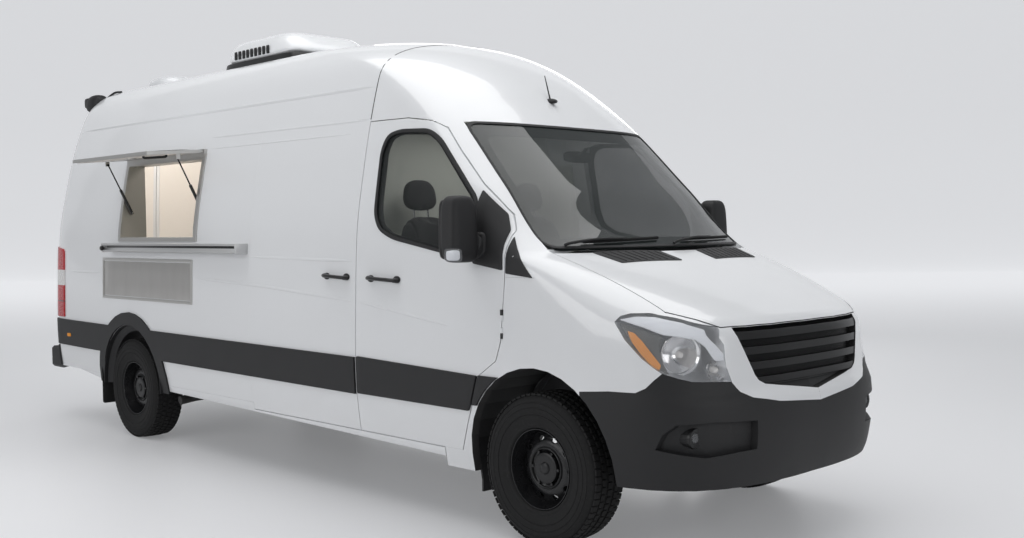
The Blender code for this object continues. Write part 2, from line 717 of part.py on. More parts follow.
REAR_DOOR = [(-0.785, 0.62), (-0.785, 1.60), (-0.74, 2.10), (-0.66, 2.36), (-0.003, 2.36), (-0.003, 0.62)]


def rear_door_cutter(side, by):
    name = f"rear_door_space_{side}_{round(by * 10000)}"
    outline = REAR_DOOR if side == "right" else mirrored(REAR_DOOR)
    return add_cutter(name, prism_mesh(name, grown(outline, by), "X", -6.2, -5.60))


def build_side_walls():
    """The fixed flanks behind the body seam, up to the roof crease."""
    region = [(SEAM_B_X, 0.45), (SEAM_B_X, CREASE_HEIGHT), (-6.1, CREASE_HEIGHT), (-6.1, 0.45)]
    for side in SIDES:
        lamp = side_prism(f"wall_lamp_{side}", grown(TAIL_LAMP, SEAM), side, 0.5)
        holes = [side_prism(f"wall_arch_{side}", REAR_ARCH, side), rear_door_cutter(side, DOOR_GAP), lamp]
        if side == "right":
            holes.append(side_prism("sliding_hole", grown(SLIDING_DOOR, SEAM), side))
            hatch = [
                (HATCH_REAR_X, HATCH_SILL), (HATCH_REAR_X, HATCH_TOP), (HATCH_FRONT_X, HATCH_TOP),
                (HATCH_FRONT_X, HATCH_SILL),
            ]
            holes.append(side_prism("hatch_hole", hatch, side))
        space = side_prism(f"wall_region_{side}", region, side, 0.003)
        wall = panel(f"side_wall_{side}", SHELL, WHITE_PAINT, [space], holes)
        yield join(wall, *rear_hinge_parts(side, -1))


def build_roof():
    region = [(SEAM_B_X, CREASE_HEIGHT + SEAM), (SEAM_B_X, 2.95), (-6.1, 2.95), (-6.1, CREASE_HEIGHT + SEAM)]
    space = add_cutter("roof_region", prism_mesh("roof_region", region, "Y", -OUTSIDE, OUTSIDE))
    return panel("roof_panel", SHELL, WHITE_PAINT, [space])


def build_sliding_door():
    space = side_prism("sliding_region", grown(SLIDING_DOOR, -SEAM), "right")
    return panel("sliding_door", SHELL, WHITE_PAINT, [space])


def build_front_door(side, parent):
    space = side_prism(f"door_region_{side}", grown(FRONT_DOOR, -SEAM), side)
    window = side_prism(f"door_window_{side}", FRONT_WINDOW, side)
    obj = panel(f"front_door_{side}", SHELL, WHITE_PAINT, [space], [window], parent)
    place = (FRONT_HINGE[0], SIDES[side] * FRONT_HINGE[1])
    cut(obj, *hinge_halves(f"door_pocket_{side}", place, FRONT_BARREL, FRONT_SPLITS, -1, BARREL_ROOM))
    return join(obj, *hinge_halves(f"door_barrel_{side}", place, FRONT_BARREL, FRONT_SPLITS, 1))


def build_door_glass(side, parent):
    space = side_prism(f"glass_region_{side}", grown(FRONT_WINDOW, -SEAM), side)
    return panel(f"door_glass_{side}", PANE, GLASS_LOOK, [space], (), parent)


def build_rear_door(side, parent):
    obj = panel(f"rear_door_{side}", SHELL, WHITE_PAINT, [rear_door_cutter(side, 0.0)], (), parent)
    return join(obj, *rear_hinge_parts(side, 1))


def rear_hinge_parts(side, own):
    """Barrel halves and their straps, onto the door for own 1 and onto the side wall for own -1."""
    sign = SIDES[side]
    x, y = REAR_HINGE
    parts = hinge_halves(f"rear_barrel_{side}_{own}", (x, sign * y), REAR_BARREL, REAR_SPLITS, own)
    for i, (split, way) in enumerate(REAR_SPLITS):
        low, high = sorted((split + own * way * SEAT_GAP, split + own * way * BARREL_HALF))
        inner, outer = (y - 0.034, y - 0.006) if own == 1 else (y, y + 0.030)
        ends = box_ends((x - 0.006, inner, low), (x + 0.034, outer, high), sign)
        parts.append(cutter_box(f"rear_strap_{side}_{own}_{i}", *ends))
    return parts


def turned(name, profile, steps, look, centre, parent=None):
    """A turned piece about a wheel's axis."""
    mesh = turned_mesh(name, profile, steps)
    mesh.transform(Matrix.Translation(centre))
    return add_part(name, mesh, look, parent)


TYRE_PROFILE = (
    (RIM_RADIUS - 0.012, -0.085), (RIM_RADIUS + 0.012, -0.104), (0.315, -TYRE_WIDTH / 2), (0.356, -0.104),
    (0.374, -0.084), (TYRE_RADIUS, -0.04), (TYRE_RADIUS, 0.04), (0.374, 0.084), (0.356, 0.104),
    (0.315, TYRE_WIDTH / 2), (RIM_RADIUS + 0.012, 0.104), (RIM_RADIUS - 0.012, 0.085),
)
TYRE_STEPS = 28
RIM_STEPS = 22


def rim_profile(outward):
    """Half section of a steel wheel: flange, barrel, dished disc and hub face."""
    bead = (RIM_RADIUS - 0.012) * math.cos(math.pi / TYRE_STEPS) - SEAT_GAP
    points = [
        (HUB_RADIUS, 0.030), (0.110, 0.046), (0.150, 0.036), (0.180, 0.010), (0.192, 0.012), (0.192, 0.0965),
        (bead, 0.0965), (bead, -0.0965), (0.192, -0.0965), (0.192, -0.012), (0.182, -0.004), (0.146, 0.020),
        (0.108, 0.030), (HUB_RADIUS, 0.014),
    ]
    return [(radius, offset * outward) for radius, offset in points]


WHEELS = {
    "front_right": (0.0, -1),
    "front_left": (0.0, 1),
    "rear_right": (-WHEELBASE, -1),
    "rear_left": (-WHEELBASE, 1),
}
SPINDLE_START = 0.66
SPINDLE_END = TRACK_HALF + 0.0537


def build_wheel(place, parent):
    x, sign = WHEELS[place]
    centre = (x, sign * TRACK_HALF, TYRE_RADIUS)
    turned(f"tyre_{place}", TYRE_PROFILE, TYRE_STEPS, RUBBER, centre, parent)
    turned(f"rim_{place}", rim_profile(sign), RIM_STEPS, BLACK_STEEL, centre, parent)


def build_knuckle(side, parent):
    """Hub carrier with its spindle, hub flange and steering arm."""
    sign = SIDES[side]
    ends = (0, sign * SPINDLE_START, TYRE_RADIUS), (0, sign * SPINDLE_END, TYRE_RADIUS)
    obj = add_part(f"knuckle_{side}", rod_mesh("spindle", *ends, SPINDLE_RADIUS, 24), CHASSIS, parent)
    post = cutter_rod(f"knuckle_post_{side}", (0, sign * 0.70, 0.27), (0, sign * 0.70, 0.56), 0.035)
    arm = cutter_box(f"knuckle_arm_{side}", *box_ends((-0.16, 0.66, 0.36), (0.02, 0.72, 0.40), sign))
    return join(obj, post, arm)


def build_front_subframe():
    """Cross beam under the engine with a lower arm out to each knuckle."""
    beam = box_mesh("beam", (-0.20, -0.46, 0.235), (0.16, 0.46, 0.33), 0.01)
    obj = add_part("front_subframe", beam, CHASSIS)
    for side, sign in SIDES.items():
        outline = [(-0.19, sign * 0.40), (0.14, sign * 0.40), (0.045, sign * 0.745), (-0.045, sign * 0.745)]
        arm = cutter_prism(f"lower_arm_{side}", outline, "Z", 0.232, 0.2692)
        ends = box_ends((-0.15, 0.38, 0.31), (0.10, 0.45, RAIL_LOW - 2 * SEAM), sign)
        leg = cutter_box(f"subframe_leg_{side}", *ends)
        join(obj, arm, leg)
    return obj


RAIL_Y = 0.415
RAIL_WIDTH = 0.07
RAIL_LOW = 0.50
RAIL_HIGH = 0.62
FLOOR_THICKNESS = 0.03
FLOOR_SEAT = LOAD_FLOOR_HEIGHT - FLOOR_PLATE_RISE + SEAT_GAP
FLOOR_UNDERSIDE = LOAD_FLOOR_HEIGHT - FLOOR_THICKNESS
CROSS_MEMBERS = (-5.6, -5.0, -3.6, -2.9, -2.2, -1.55)
CROSS_MEMBER_LOW = 0.54


def build_load_floor():
    """The floor board, with the raised plate that the load stands on."""
    top = LOAD_FLOOR_HEIGHT - FLOOR_PLATE_RISE
    board = box_mesh("load_floor", (-5.76, -1.0, FLOOR_UNDERSIDE), (-1.47, 1.0, top))
    obj = keep(add_part("load_floor", board, CHASSIS), CABIN)
    for side, sign in SIDES.items():
        ring = arc((-WHEELBASE, TYRE_RADIUS), 0.44, 0, 360, 28)[:-1]
        cut(obj, cutter_prism(f"floor_arch_{side}", ring, "Y", *sorted((sign * 0.70, sign * 1.1))))
    return join(obj, cutter_box("floor_plate", (-5.58, -0.69, top - 0.01), (-1.72, 0.40, LOAD_FLOOR_HEIGHT)))


def build_floor_frame():
    """Two long rails with the cross members that carry the floor board."""
    obj = add_part("floor_frame", box_mesh("front_cross", (0.50, -0.43, 0.51), (0.58, 0.43, 0.60)), CHASSIS)
    for side, sign in SIDES.items():
        inner, outer = RAIL_Y - RAIL_WIDTH / 2, RAIL_Y + RAIL_WIDTH / 2
        ends = box_ends((-5.70, inner, RAIL_LOW), (0.62, outer, RAIL_HIGH), sign)
        join(obj, cutter_box(f"rail_{side}", *ends))
    for i, x in enumerate(CROSS_MEMBERS):
        low, high = (x - 0.04, -0.88, CROSS_MEMBER_LOW), (x + 0.04, 0.88, FLOOR_UNDERSIDE - SEAT_GAP)
        join(obj, cutter_box(f"cross_member_{i}", low, high))
    return obj


COWL_LIP_X = -0.02
PIN_RADIUS = 0.005
PIN_ROOM = 0.0004


def bonnet_pin(sign, y):
    return (BONNET_HINGE[0], sign * y, BONNET_HINGE[2])


def build_cab_floor():
    """Cab floor, toe board, firewall and cowl in one pressing."""
    section = [
        (-1.4694, 0.6206), (-1.4694, 0.655), (-0.43, 0.655), (-0.20, 0.88), (-0.20, 1.36), (-0.185, 1.375),
        (COWL_LIP_X - 0.015, 1.375), (COWL_LIP_X - 0.015, 1.452), (COWL_LIP_X, 1.452), (COWL_LIP_X, 1.375),
        (0.085, 1.375), (0.085, 1.35), (-0.165, 1.35), (-0.165, 0.865), (-0.415, 0.6206),
    ]
    obj = add_part("cab_floor", prism_mesh("cab_floor", section, "Y", -0.62, 0.62), TRIM)
    for side, sign in SIDES.items():
        y0, y1 = sorted((sign * 0.55, sign * 0.90))
        join(obj, cutter_box(f"cab_sill_{side}", (-1.4694, y0, 0.6207), (-0.60, y1, 0.6549)))
        y0, y1 = sorted((sign * 0.55, sign * 0.93))
        join(obj, cutter_prism(f"firewall_wing_{side}", section[3:14], "Y", y0, y1))
    lip = COWL_LIP_X - 0.01
    bracket = [(lip, 1.40), (lip, 1.44), (0.005, 1.433), (0.008, 1.418), (-0.005, 1.40)]
    for side, sign in SIDES.items():
        y0, y1 = sorted((sign * 0.555, sign * 0.575))
        join(obj, cutter_prism(f"bonnet_bracket_{side}", bracket, "Y", y0, y1))
        pin = (bonnet_pin(sign, 0.56), bonnet_pin(sign, 0.598))
        join(obj, cutter_rod(f"bonnet_pin_{side}", *pin, PIN_RADIUS))
    ring = arc((0, TYRE_RADIUS), 0.60, 0, 360, 24)[:-1]
    cut(obj, *(side_prism(f"cab_arch_{side}", ring, side, 0.60 - SEAM) for side in SIDES))
    return keep(obj, CABIN)


def build_rear_axle():
    """Live axle with its differential, leaf springs and spindles."""
    x, z = -WHEELBASE, TYRE_RADIUS
    seat = RAIL_LOW - SEAM
    obj = add_part("rear_axle", rod_mesh("beam", (x, -0.70, z), (x, 0.70, z), 0.045, 16), CHASSIS)
    bowl = cutter_rod("differential", (x - 0.13, 0, z), (x + 0.15, 0, z), 0.13, 16)
    join(obj, bowl)
    half = [(0.36, 0.448), (0.72, 0.462), (0.72, seat), (0.66, seat), (0.66, 0.486), (0.30, 0.470)]
    ahead = [(x + reach, height) for reach, height in half]
    behind = [(x - reach, height) for reach, height in reversed(half)]
    spring = [(x, 0.440), *ahead, (x, 0.466), *behind]
    for side, sign in SIDES.items():
        ends = (x, sign * SPINDLE_START, z), (x, sign * SPINDLE_END, z)
        spindle = cutter_rod(f"rear_spindle_{side}", *ends, SPINDLE_RADIUS, 24)
        y0, y1 = sorted((sign * (RAIL_Y - 0.035), sign * (RAIL_Y + 0.035)))
        leaf = cutter_prism(f"leaf_spring_{side}", spring, "Y", y0, y1)
        clamp = cutter_box(f"spring_clamp_{side}", (x - 0.06, y0, z), (x + 0.06, y1, 0.45))
        join(obj, spindle, leaf, clamp)
    return obj


def build_underside():
    block = box_mesh("engine", (-0.14, -0.26, 0.3306), (0.46, 0.26, 1.08), 0.02)
    engine = add_part("engine", block, CHASSIS)
    for side, sign in SIDES.items():
        rail_gap = box_ends((-0.3, 0.255, 0.48), (0.7, 0.5, 0.64), sign)
        cut(engine, cutter_box(f"engine_rail_gap_{side}", *rail_gap))
    shape = box_mesh("fuel_tank", (-2.20, 0.46, 0.30), (-1.55, 0.84, CROSS_MEMBER_LOW - SEAT_GAP), 0.03)
    tank = add_part("fuel_tank", shape, CHASSIS)
    return engine, tank


def build_rear_bumper():
    bar = box_mesh("rear_bumper", (-5.95, -0.93, 0.42), (-5.66, 0.93, 0.60), 0.02)
    obj = add_part("rear_bumper", bar, BLACK_PLASTIC)
    cut(obj, cutter_box("bumper_back", (-5.80, -0.86, 0.3), (-5.0, 0.86, 0.7)))
    cut(obj, add_cutter("body_space", hull_mesh("body_space", -0.0006)))
    return obj


TAIL_LAMP = [(-6.0, 0.97), (-6.0, 1.47), (-5.745, 1.47), (-5.77, 0.97)]


def build_tail_lamps():
    for side in SIDES:
        name = f"tail_lamp_{side}"
        space = side_prism(name + "_region", grown(TAIL_LAMP, -SEAM), side, 0.5)
        yield panel(name, SHELL, RED_LAMP, [space], [rear_door_cutter(side, DOOR_GAP)])


def build_claddings():
    """Black side moulding with the flare round the rear arch, proud of the flank."""
    skin = make_shell("cladding_shell", -0.014, -0.0004)
    arch = arch_outline(-WHEELBASE, REAR_ARCH_RADIUS + FLARE_WIDTH, 0.39)
    band = [(SEAM_B_X - 0.004, 0.62), (SEAM_B_X - 0.004, 0.835), (-5.85, 0.855), (-5.85, 0.64)]
    for side in SIDES:
        strip = side_prism(f"moulding_band_{side}", band, side, 0.81)
        flare = side_prism(f"moulding_flare_{side}", arch, side)
        opening = side_prism(f"moulding_arch_{side}", REAR_ARCH, side)
        area = apply_modifiers(join(strip, flare))
        yield panel(f"side_moulding_{side}", skin, BLACK_PLASTIC, [area], [opening])


POST_FRONT_X = -1.41


def build_partition():
    """Bulkhead behind the seats, with the posts that the side doors close against."""
    board = box_mesh("partition", (PARTITION_X - 0.03, -1, FLOOR_SEAT), (PARTITION_X, 1, 2.75))
    obj = add_part("partition", board, LINING)
    for side, sign in SIDES.items():
        post = box_ends((PARTITION_X - 0.01, 0.84, FLOOR_SEAT), (POST_FRONT_X, 1.0, 2.32), sign)
        join(obj, cutter_box(f"door_post_{side}", *post))
    return keep(obj, CABIN)


STEERING_CENTRE = (-0.66, 0.46, 1.36)
STEERING_TILT = 42
STEERING_RADIUS = 0.195


def build_dashboard():
    section = [
        (-0.2003, 0.98), (-0.2003, 1.34), (-0.30, 1.37), (-0.52, 1.33), (-0.60, 1.24), (-0.58, 1.02),
        (-0.46, 0.95),
    ]
    obj = add_part("dashboard", prism_mesh("dashboard", section, "Y", -0.84, 0.84), TRIM)
    keep(obj, CABIN)
    tilt = Matrix.Translation(STEERING_CENTRE) @ Matrix.Rotation(math.radians(-STEERING_TILT), 4, "Y")
    column = cutter_rod("steering_column", tilt @ Vector((0, 0, -0.20)), tilt @ Vector((0, 0, 0.01)), 0.035)
    ring = add_cutter("steering_ring", ring_mesh("steering_ring", STEERING_RADIUS, 0.015, 24, 8))
    ring.data.transform(tilt)
    spoke = cutter_box("steering_spoke", (-0.02, -STEERING_RADIUS, -0.012), (0.02, STEERING_RADIUS, 0.012))
    spoke.data.transform(tilt)
    join(obj, column, ring, spoke)
    return obj


def ring_mesh(name, radius, thickness, steps, sides):
    """A torus about Z."""
    bm = bmesh.new()
    section = arc((radius, 0), thickness, 0, 360, sides)[:-1]
    made = [bm.verts.new((across, 0, up)) for across, up in section]
    edges = [bm.edges.new((made[i], made[(i + 1) % sides])) for i in range(sides)]
    bmesh.ops.spin(bm, geom=made + edges, cent=(0, 0, 0), axis=(0, 0, 1), angle=math.tau, steps=steps)
    bmesh.ops.remove_doubles(bm, verts=bm.verts, dist=0.00001)
    return mesh_from(bm, name)


SEAT_X = -1.05


def build_seat(name, y):
    """Pedestal, cushion, raked back and headrest."""
    x = SEAT_X
    pedestal = box_mesh("pedestal", (x - 0.22, y - 0.20, 0.6553), (x + 0.16, y + 0.20, 1.00))
    base = add_part(name, pedestal, CLOTH)
    cushion = cutter_box(name + "_cushion", (x - 0.28, y - 0.25, 0.96), (x + 0.26, y + 0.25, 1.10))
    raked = [(x - 0.16, 1.05), (x - 0.30, 1.05), (x - 0.46, 1.68), (x - 0.34, 1.68)]
    back = cutter_prism(name + "_back", raked, "Y", y - 0.24, y + 0.24)
    raked = [(x - 0.35, 1.66), (x - 0.46, 1.66), (x - 0.49, 1.90), (x - 0.38, 1.90)]
    rest = cutter_prism(name + "_headrest", raked, "Y", y - 0.13, y + 0.13)
    return join(base, cushion, back, rest)


def build_mirror(side, parent):
    sign = SIDES[side]
    low, high = box_ends((-0.475, 0.985, 1.40), (-0.355, 1.19, 1.74), sign)
    obj = add_part(f"mirror_{side}", box_mesh("mirror", low, high, 0.02), BLACK_PLASTIC, parent)
    arm = cutter_box(f"mirror_arm_{side}", *box_ends((-0.44, 0.90, 1.46), (-0.36, 1.02, 1.52), sign))
    join(obj, arm)
    cut(obj, add_cutter(f"mirror_seat_{side}", hull_mesh("mirror_seat", -SEAT_GAP)))
    return obj


FLAP_HINGE = (0.0, -0.895, HATCH_TOP + 0.015)
FLAP_DROP = 0.03
FLAP_HALF_THICKNESS = 0.012
FLAP_BARREL = 0.007
FLAP_BARRELS = 5


def flap_barrels(own):
    """The piano hinge's barrels, on the flap for own 1 and between them on the frame's rail for own 0."""
    y, z = FLAP_HINGE[1:]
    step = (HATCH_FRONT_X - HATCH_REAR_X - 0.04) / (2 * FLAP_BARRELS + 1)
    for i in range(own, 2 * FLAP_BARRELS + 1, 2):
        low = HATCH_REAR_X + 0.02 + step * i + SEAT_GAP
        high = low + step - 2 * SEAT_GAP
        yield cutter_rod(f"flap_barrel_{i}", (low, y, z), (high, y, z), FLAP_BARREL, 8)
        if not own:
            ends = (low + 0.001, y - 0.002, z - 0.004), (high - 0.001, y + 0.012, z + 0.004)
            yield cutter_box(f"flap_block_{i}", *ends)


def build_hatch_frame():
    """Stainless lining of the opening, with a rim proud of the flank and a rail for the flap."""
    x0, x1, z0, z1 = HATCH_REAR_X + SEAM, HATCH_FRONT_X - SEAM, HATCH_SILL + SEAM, HATCH_TOP - SEAM
    obj = add_part("hatch_frame", box_mesh("hatch_frame", (x0, -1.02, z0), (x1, -0.76, z1)), STAINLESS)
    keep(obj, add_cutter("hatch_rim", hull_mesh("hatch_rim", -0.012)))
    cut(obj, cutter_box("hatch_void", (x0 + 0.04, -1.2, z0 + 0.03), (x1 - 0.04, -0.5, z1 - 0.04)))
    y, z = FLAP_HINGE[1:]
    rail = cutter_box("flap_rail", (x0 + 0.01, y + 0.0075, z1 - 0.02), (x1 - 0.01, -0.85, z + 0.016))
    cut(rail, add_cutter("flap_rail_seat", hull_mesh("flap_rail_seat", -SEAT_GAP)))
    join(obj, apply_modifiers(rail), *flap_barrels(0))
    for place, x in STRUT_X.items():
        out = 1 if place == "front" else -1
        foot_pin = ((x + out * 0.03, *STRUT_FOOT), (x - out * 0.014, *STRUT_FOOT))
        join(obj, cutter_rod(f"strut_pin_{place}", *foot_pin, STRUT_PIN_RADIUS, 8))
    return obj


def build_hatch_flap(parent):
    y0, z0 = FLAP_HINGE[1], FLAP_HINGE[2]
    tip_y, tip_z = y0 - FLAP_DEPTH, z0 - FLAP_DROP
    section = [
        (y0 - 0.005, z0 + 0.004), (y0 - 0.03, z0 + 0.009), (tip_y, tip_z + FLAP_HALF_THICKNESS),
        (tip_y, tip_z - FLAP_HALF_THICKNESS), (y0 - 0.03, z0 - 0.013), (y0 - 0.005, z0 - 0.004),
    ]
    mesh = prism_mesh("hatch_flap", section, "X", HATCH_REAR_X + 0.01, HATCH_FRONT_X - 0.01)
    obj = add_part("hatch_flap", mesh, STAINLESS, parent)
    cut(obj, *(cutter_box(f"barrel_room_{i}", *ends) for i, ends in enumerate(frame_barrel_rooms())))
    join(obj, *flap_barrels(1))
    for place, x in STRUT_X.items():
        out = 1 if place == "front" else -1
        xs = sorted((x + out * 0.0075, x + out * 0.0145))
        y, z = STRUT_EYE
        ends = (xs[0], y - 0.015, z - 0.009), (xs[1], y + 0.015, z + 0.03)
        join(obj, cutter_box(f"strut_bracket_{place}", *ends))
    return obj


def frame_barrel_rooms():
    """Room in the flap's root around each of the rail's own barrels."""
    y, z = FLAP_HINGE[1:]
    step = (HATCH_FRONT_X - HATCH_REAR_X - 0.04) / (2 * FLAP_BARRELS + 1)
    for i in range(0, 2 * FLAP_BARRELS + 1, 2):
        low = HATCH_REAR_X + 0.02 + step * i
        yield (low - SEAT_GAP, y - 0.010, z - 0.02), (low + step + SEAT_GAP, y + 0.02, z + 0.02)


STRUT_X = {"rear": HATCH_REAR_X + 0.062, "front": HATCH_FRONT_X - 0.062}
STRUT_FOOT = (-0.885, HATCH_SILL + 0.22)
STRUT_EYE = (-1.065, FLAP_HINGE[2] - 0.05)
STRUT_TUBE_LENGTH = 0.195
STRUT_ROD_LENGTH = 0.212
STRUT_TUBE_RADIUS = 0.011
STRUT_ROD_RADIUS = 0.0052
STRUT_PIN_RADIUS = 0.004
STRUT_PIN_ROOM = 0.0006
STRUT_BORE_ROOM = 0.001


def build_strut(place, foot_empty):
    """Gas strut: a bored tube on its foot pin and a rod that slides in it, out to its eye."""
    x = STRUT_X[place]
    foot, eye = Vector((x, *STRUT_FOOT)), Vector((x, *STRUT_EYE))
    along = (eye - foot).normalized()
    across = Vector((0.02, 0, 0))
    body = rod_mesh("tube", foot - along * 0.011, foot + along * STRUT_TUBE_LENGTH, STRUT_TUBE_RADIUS)
    tube = add_part(f"strut_tube_{place}", body, BLACK_PLASTIC, foot_empty)
    ends = foot + along * 0.012, foot + along * 0.30
    bore = cutter_rod(f"strut_bore_{place}", *ends, STRUT_ROD_RADIUS + STRUT_BORE_ROOM)
    ends = foot - across, foot + across
    pin_hole = cutter_rod(f"strut_foot_hole_{place}", *ends, STRUT_PIN_RADIUS + STRUT_PIN_ROOM, 8)
    cut(tube, bore, pin_hole)
    slide = joint_empty(f"strut_slide_{place}", tuple(eye), foot_empty)
    body = rod_mesh("rod", eye - along * STRUT_ROD_LENGTH, eye - along * 0.004, STRUT_ROD_RADIUS)
    rod = add_part(f"strut_rod_{place}", body, STAINLESS, slide)
    head = cutter_rod(f"strut_head_{place}", eye - across * 0.3, eye + across * 0.3, 0.009)
    join(rod, head)


LEDGE_FRONT_X = -2.63
LEDGE_REAR_X = -4.60
LEDGE_TOP = HATCH_SILL - 0.015
LEDGE_HEIGHT = 0.065


def on_flank(name, low, high, look, out=0.0):
    """A box standing on the body's outer skin."""
    obj = add_part(name, box_mesh(name, low, high), look)
    skin = hull_mesh(name + "_seat", -SEAT_GAP - out)
    return cut(obj, add_cutter(name + "_seat", skin))


def build_counter_ledge():
    low, high = (LEDGE_REAR_X, -1.065, LEDGE_TOP - LEDGE_HEIGHT), (LEDGE_FRONT_X, -0.95, LEDGE_TOP)
    return on_flank("counter_ledge", low, high, STAINLESS)


ACCESS_TOP = LEDGE_TOP - LEDGE_HEIGHT - 0.045
ACCESS_FOOT = ACCESS_TOP - 0.32
ACCESS_PANEL = [(-4.78, ACCESS_FOOT), (-4.78, ACCESS_TOP), (-3.35, ACCESS_TOP), (-3.35, ACCESS_FOOT)]


def build_access_panel():
    skin = make_shell("access_skin", -0.006, -0.0004)
    space = side_prism("access_region", ACCESS_PANEL, "right")
    return panel("access_panel", skin, STAINLESS, [space])


def build_roof_units():
    on_flank("roof_vent", (-5.57, -0.21, 2.70), (-5.13, 0.21, 2.93), WHITE_PAINT)
    on_flank("roof_air_conditioner", (-3.95, -0.37, 2.70), (-2.95, 0.37, 3.02), WHITE_PAINT)


WORKTOP_HEIGHT = HATCH_SILL + 0.075
TAP_PLACE = Vector((-3.9, 0.70, WORKTOP_HEIGHT))
TAP_ROUTE = (
    (0, 0, -0.02), (0, 0, 0.20), (0, -0.02, 0.25), (0, -0.06, 0.28), (0, -0.11, 0.27), (0, -0.13, 0.23),
)


def build_galley():
    """Cabinet with a worktop and a tap, along the left wall opposite the hatch."""
    cabinet = box_mesh("galley_cabinet", (-5.0, 0.42, FLOOR_SEAT), (-3.0, 0.98, WORKTOP_HEIGHT))
    obj = add_part("galley_cabinet", cabinet, STAINLESS)
    keep(obj, CABIN)
    tap = add_cutter("tap", tube_mesh("tap", [TAP_PLACE + Vector(step) for step in TAP_ROUTE], 0.013))
    cut(obj, cutter_box("galley_arch", (-5.0, 0.66, 0.5), (-3.7, 1.0, 0.98)))
    return join(obj, tap)


def build_arch_liners():
    """Inner arches over the front wheels, with their mud flaps."""
    for side, sign in SIDES.items():
        outer = arc((0, ARCH_CENTRE_HEIGHT), ARCH_RADIUS + 0.010, 183, -5, 16)
        inner = arc((0, ARCH_CENTRE_HEIGHT), ARCH_RADIUS + 0.002, -5, 183, 16)
        y0, y1 = sorted((sign * 0.60, sign * 1.0))
        liner = prism_mesh("liner", outer + inner, "Y", y0, y1)
        obj = add_part(f"front_arch_liner_{side}", liner, BLACK_PLASTIC)
        y0, y1 = sorted((sign * 0.70, sign * 0.925))
        sheet = [(-0.500, 0.18), (-0.500, 0.42), (-0.488, 0.42), (-0.488, 0.18)]
        join(obj, cutter_prism(f"mud_flap_{side}", sheet, "Y", y0, y1))
        keep(obj, CABIN_ALL)
        yield obj


def main():
    build_cab_shell()
    build_windscreen()
    list(build_wings())
    build_grille()
    build_front_bumper()
    list(build_headlamps())
    list(build_side_walls())
    build_roof()
    build_sliding_door()
    build_load_floor()
    build_floor_frame()
    build_cab_floor()
    build_front_subframe()
    build_rear_axle()
    build_underside()
    build_rear_bumper()
    list(build_claddings())
    build_partition()
    build_dashboard()
    build_seat("seat_driver", 0.47)
    build_seat("seat_passenger", -0.47)
    build_hatch_frame()
    list(build_tail_lamps())
    list(build_arch_liners())
    build_counter_ledge()
    build_access_panel()
    build_roof_units()
    build_galley()
    for place, x in STRUT_X.items():
        build_strut(place, joint_empty(f"strut_foot_{place}", (x, *STRUT_FOOT)))
    bonnet_hinge = joint_empty("bonnet_hinge", BONNET_HINGE)
    build_bonnet(bonnet_hinge)
    flap_hinge = joint_empty("flap_hinge", FLAP_HINGE)
    build_hatch_flap(flap_hinge)
    for side, sign in SIDES.items():
        door_hinge = joint_empty(f"front_door_hinge_{side}", (FRONT_HINGE[0], sign * FRONT_HINGE[1], 1.0))
        build_front_door(side, door_hinge)
        build_door_glass(side, door_hinge)
        build_mirror(side, door_hinge)
        rear_hinge = joint_empty(f"rear_door_hinge_{side}", (REAR_HINGE[0], sign * REAR_HINGE[1], 1.5))
        build_rear_door(side, rear_hinge)
        steering = joint_empty(f"steering_axis_{side}", (0.0, sign * 0.70, TYRE_RADIUS))
        build_knuckle(side, steering)
        spin = joint_empty(f"front_wheel_axis_{side}", (0.0, sign * TRACK_HALF, TYRE_RADIUS), steering)
        build_wheel(f"front_{side}", spin)
        spin = joint_empty(f"rear_wheel_axis_{side}", (-WHEELBASE, sign * TRACK_HALF, TYRE_RADIUS))
        build_wheel(f"rear_{side}", spin)


main()
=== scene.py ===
# %% [markdown]
# # A high-roof cargo van with a serving hatch
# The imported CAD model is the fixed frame: every panel, wheel and hinge already stands where it belongs.
# This lesson dresses it: smooth painted skins, moulded plastic, glass, lamps, wheels with tread, seats and a lit
# galley. Lengths are metres. Points are written in the van's own frame (X forward from the front axle, Y to
# the van's left, Z up from the ground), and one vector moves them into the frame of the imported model.

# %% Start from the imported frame
import json
import math
import bmesh
import bpy
import numpy as np
from mathutils import Matrix, Vector
from mathutils.bvhtree import BVHTree
from mathutils.interpolate import poly_3d_calc

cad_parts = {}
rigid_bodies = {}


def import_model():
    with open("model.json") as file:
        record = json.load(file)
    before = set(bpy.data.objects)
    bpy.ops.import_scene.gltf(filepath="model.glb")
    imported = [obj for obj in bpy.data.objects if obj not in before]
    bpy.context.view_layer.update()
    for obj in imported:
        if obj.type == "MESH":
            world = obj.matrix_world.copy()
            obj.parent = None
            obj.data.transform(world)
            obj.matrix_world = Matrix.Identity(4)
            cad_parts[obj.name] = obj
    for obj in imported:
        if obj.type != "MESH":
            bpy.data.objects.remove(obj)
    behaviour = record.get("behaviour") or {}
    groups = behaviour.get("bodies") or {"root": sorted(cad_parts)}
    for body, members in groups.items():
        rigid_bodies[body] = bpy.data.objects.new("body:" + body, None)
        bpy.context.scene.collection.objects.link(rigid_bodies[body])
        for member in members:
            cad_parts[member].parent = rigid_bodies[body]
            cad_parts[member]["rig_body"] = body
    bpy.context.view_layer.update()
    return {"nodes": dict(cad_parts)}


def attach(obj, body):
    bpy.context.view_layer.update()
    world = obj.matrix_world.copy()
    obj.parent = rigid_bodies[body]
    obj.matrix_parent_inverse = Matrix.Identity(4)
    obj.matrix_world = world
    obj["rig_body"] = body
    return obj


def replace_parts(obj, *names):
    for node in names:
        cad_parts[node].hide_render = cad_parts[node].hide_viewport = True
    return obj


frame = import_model()
NODES = frame["nodes"]
SHIFT = Vector((4.325, 0.0, -0.70))
SIDES = {"right": -1, "left": 1}
WELD = 0.00001


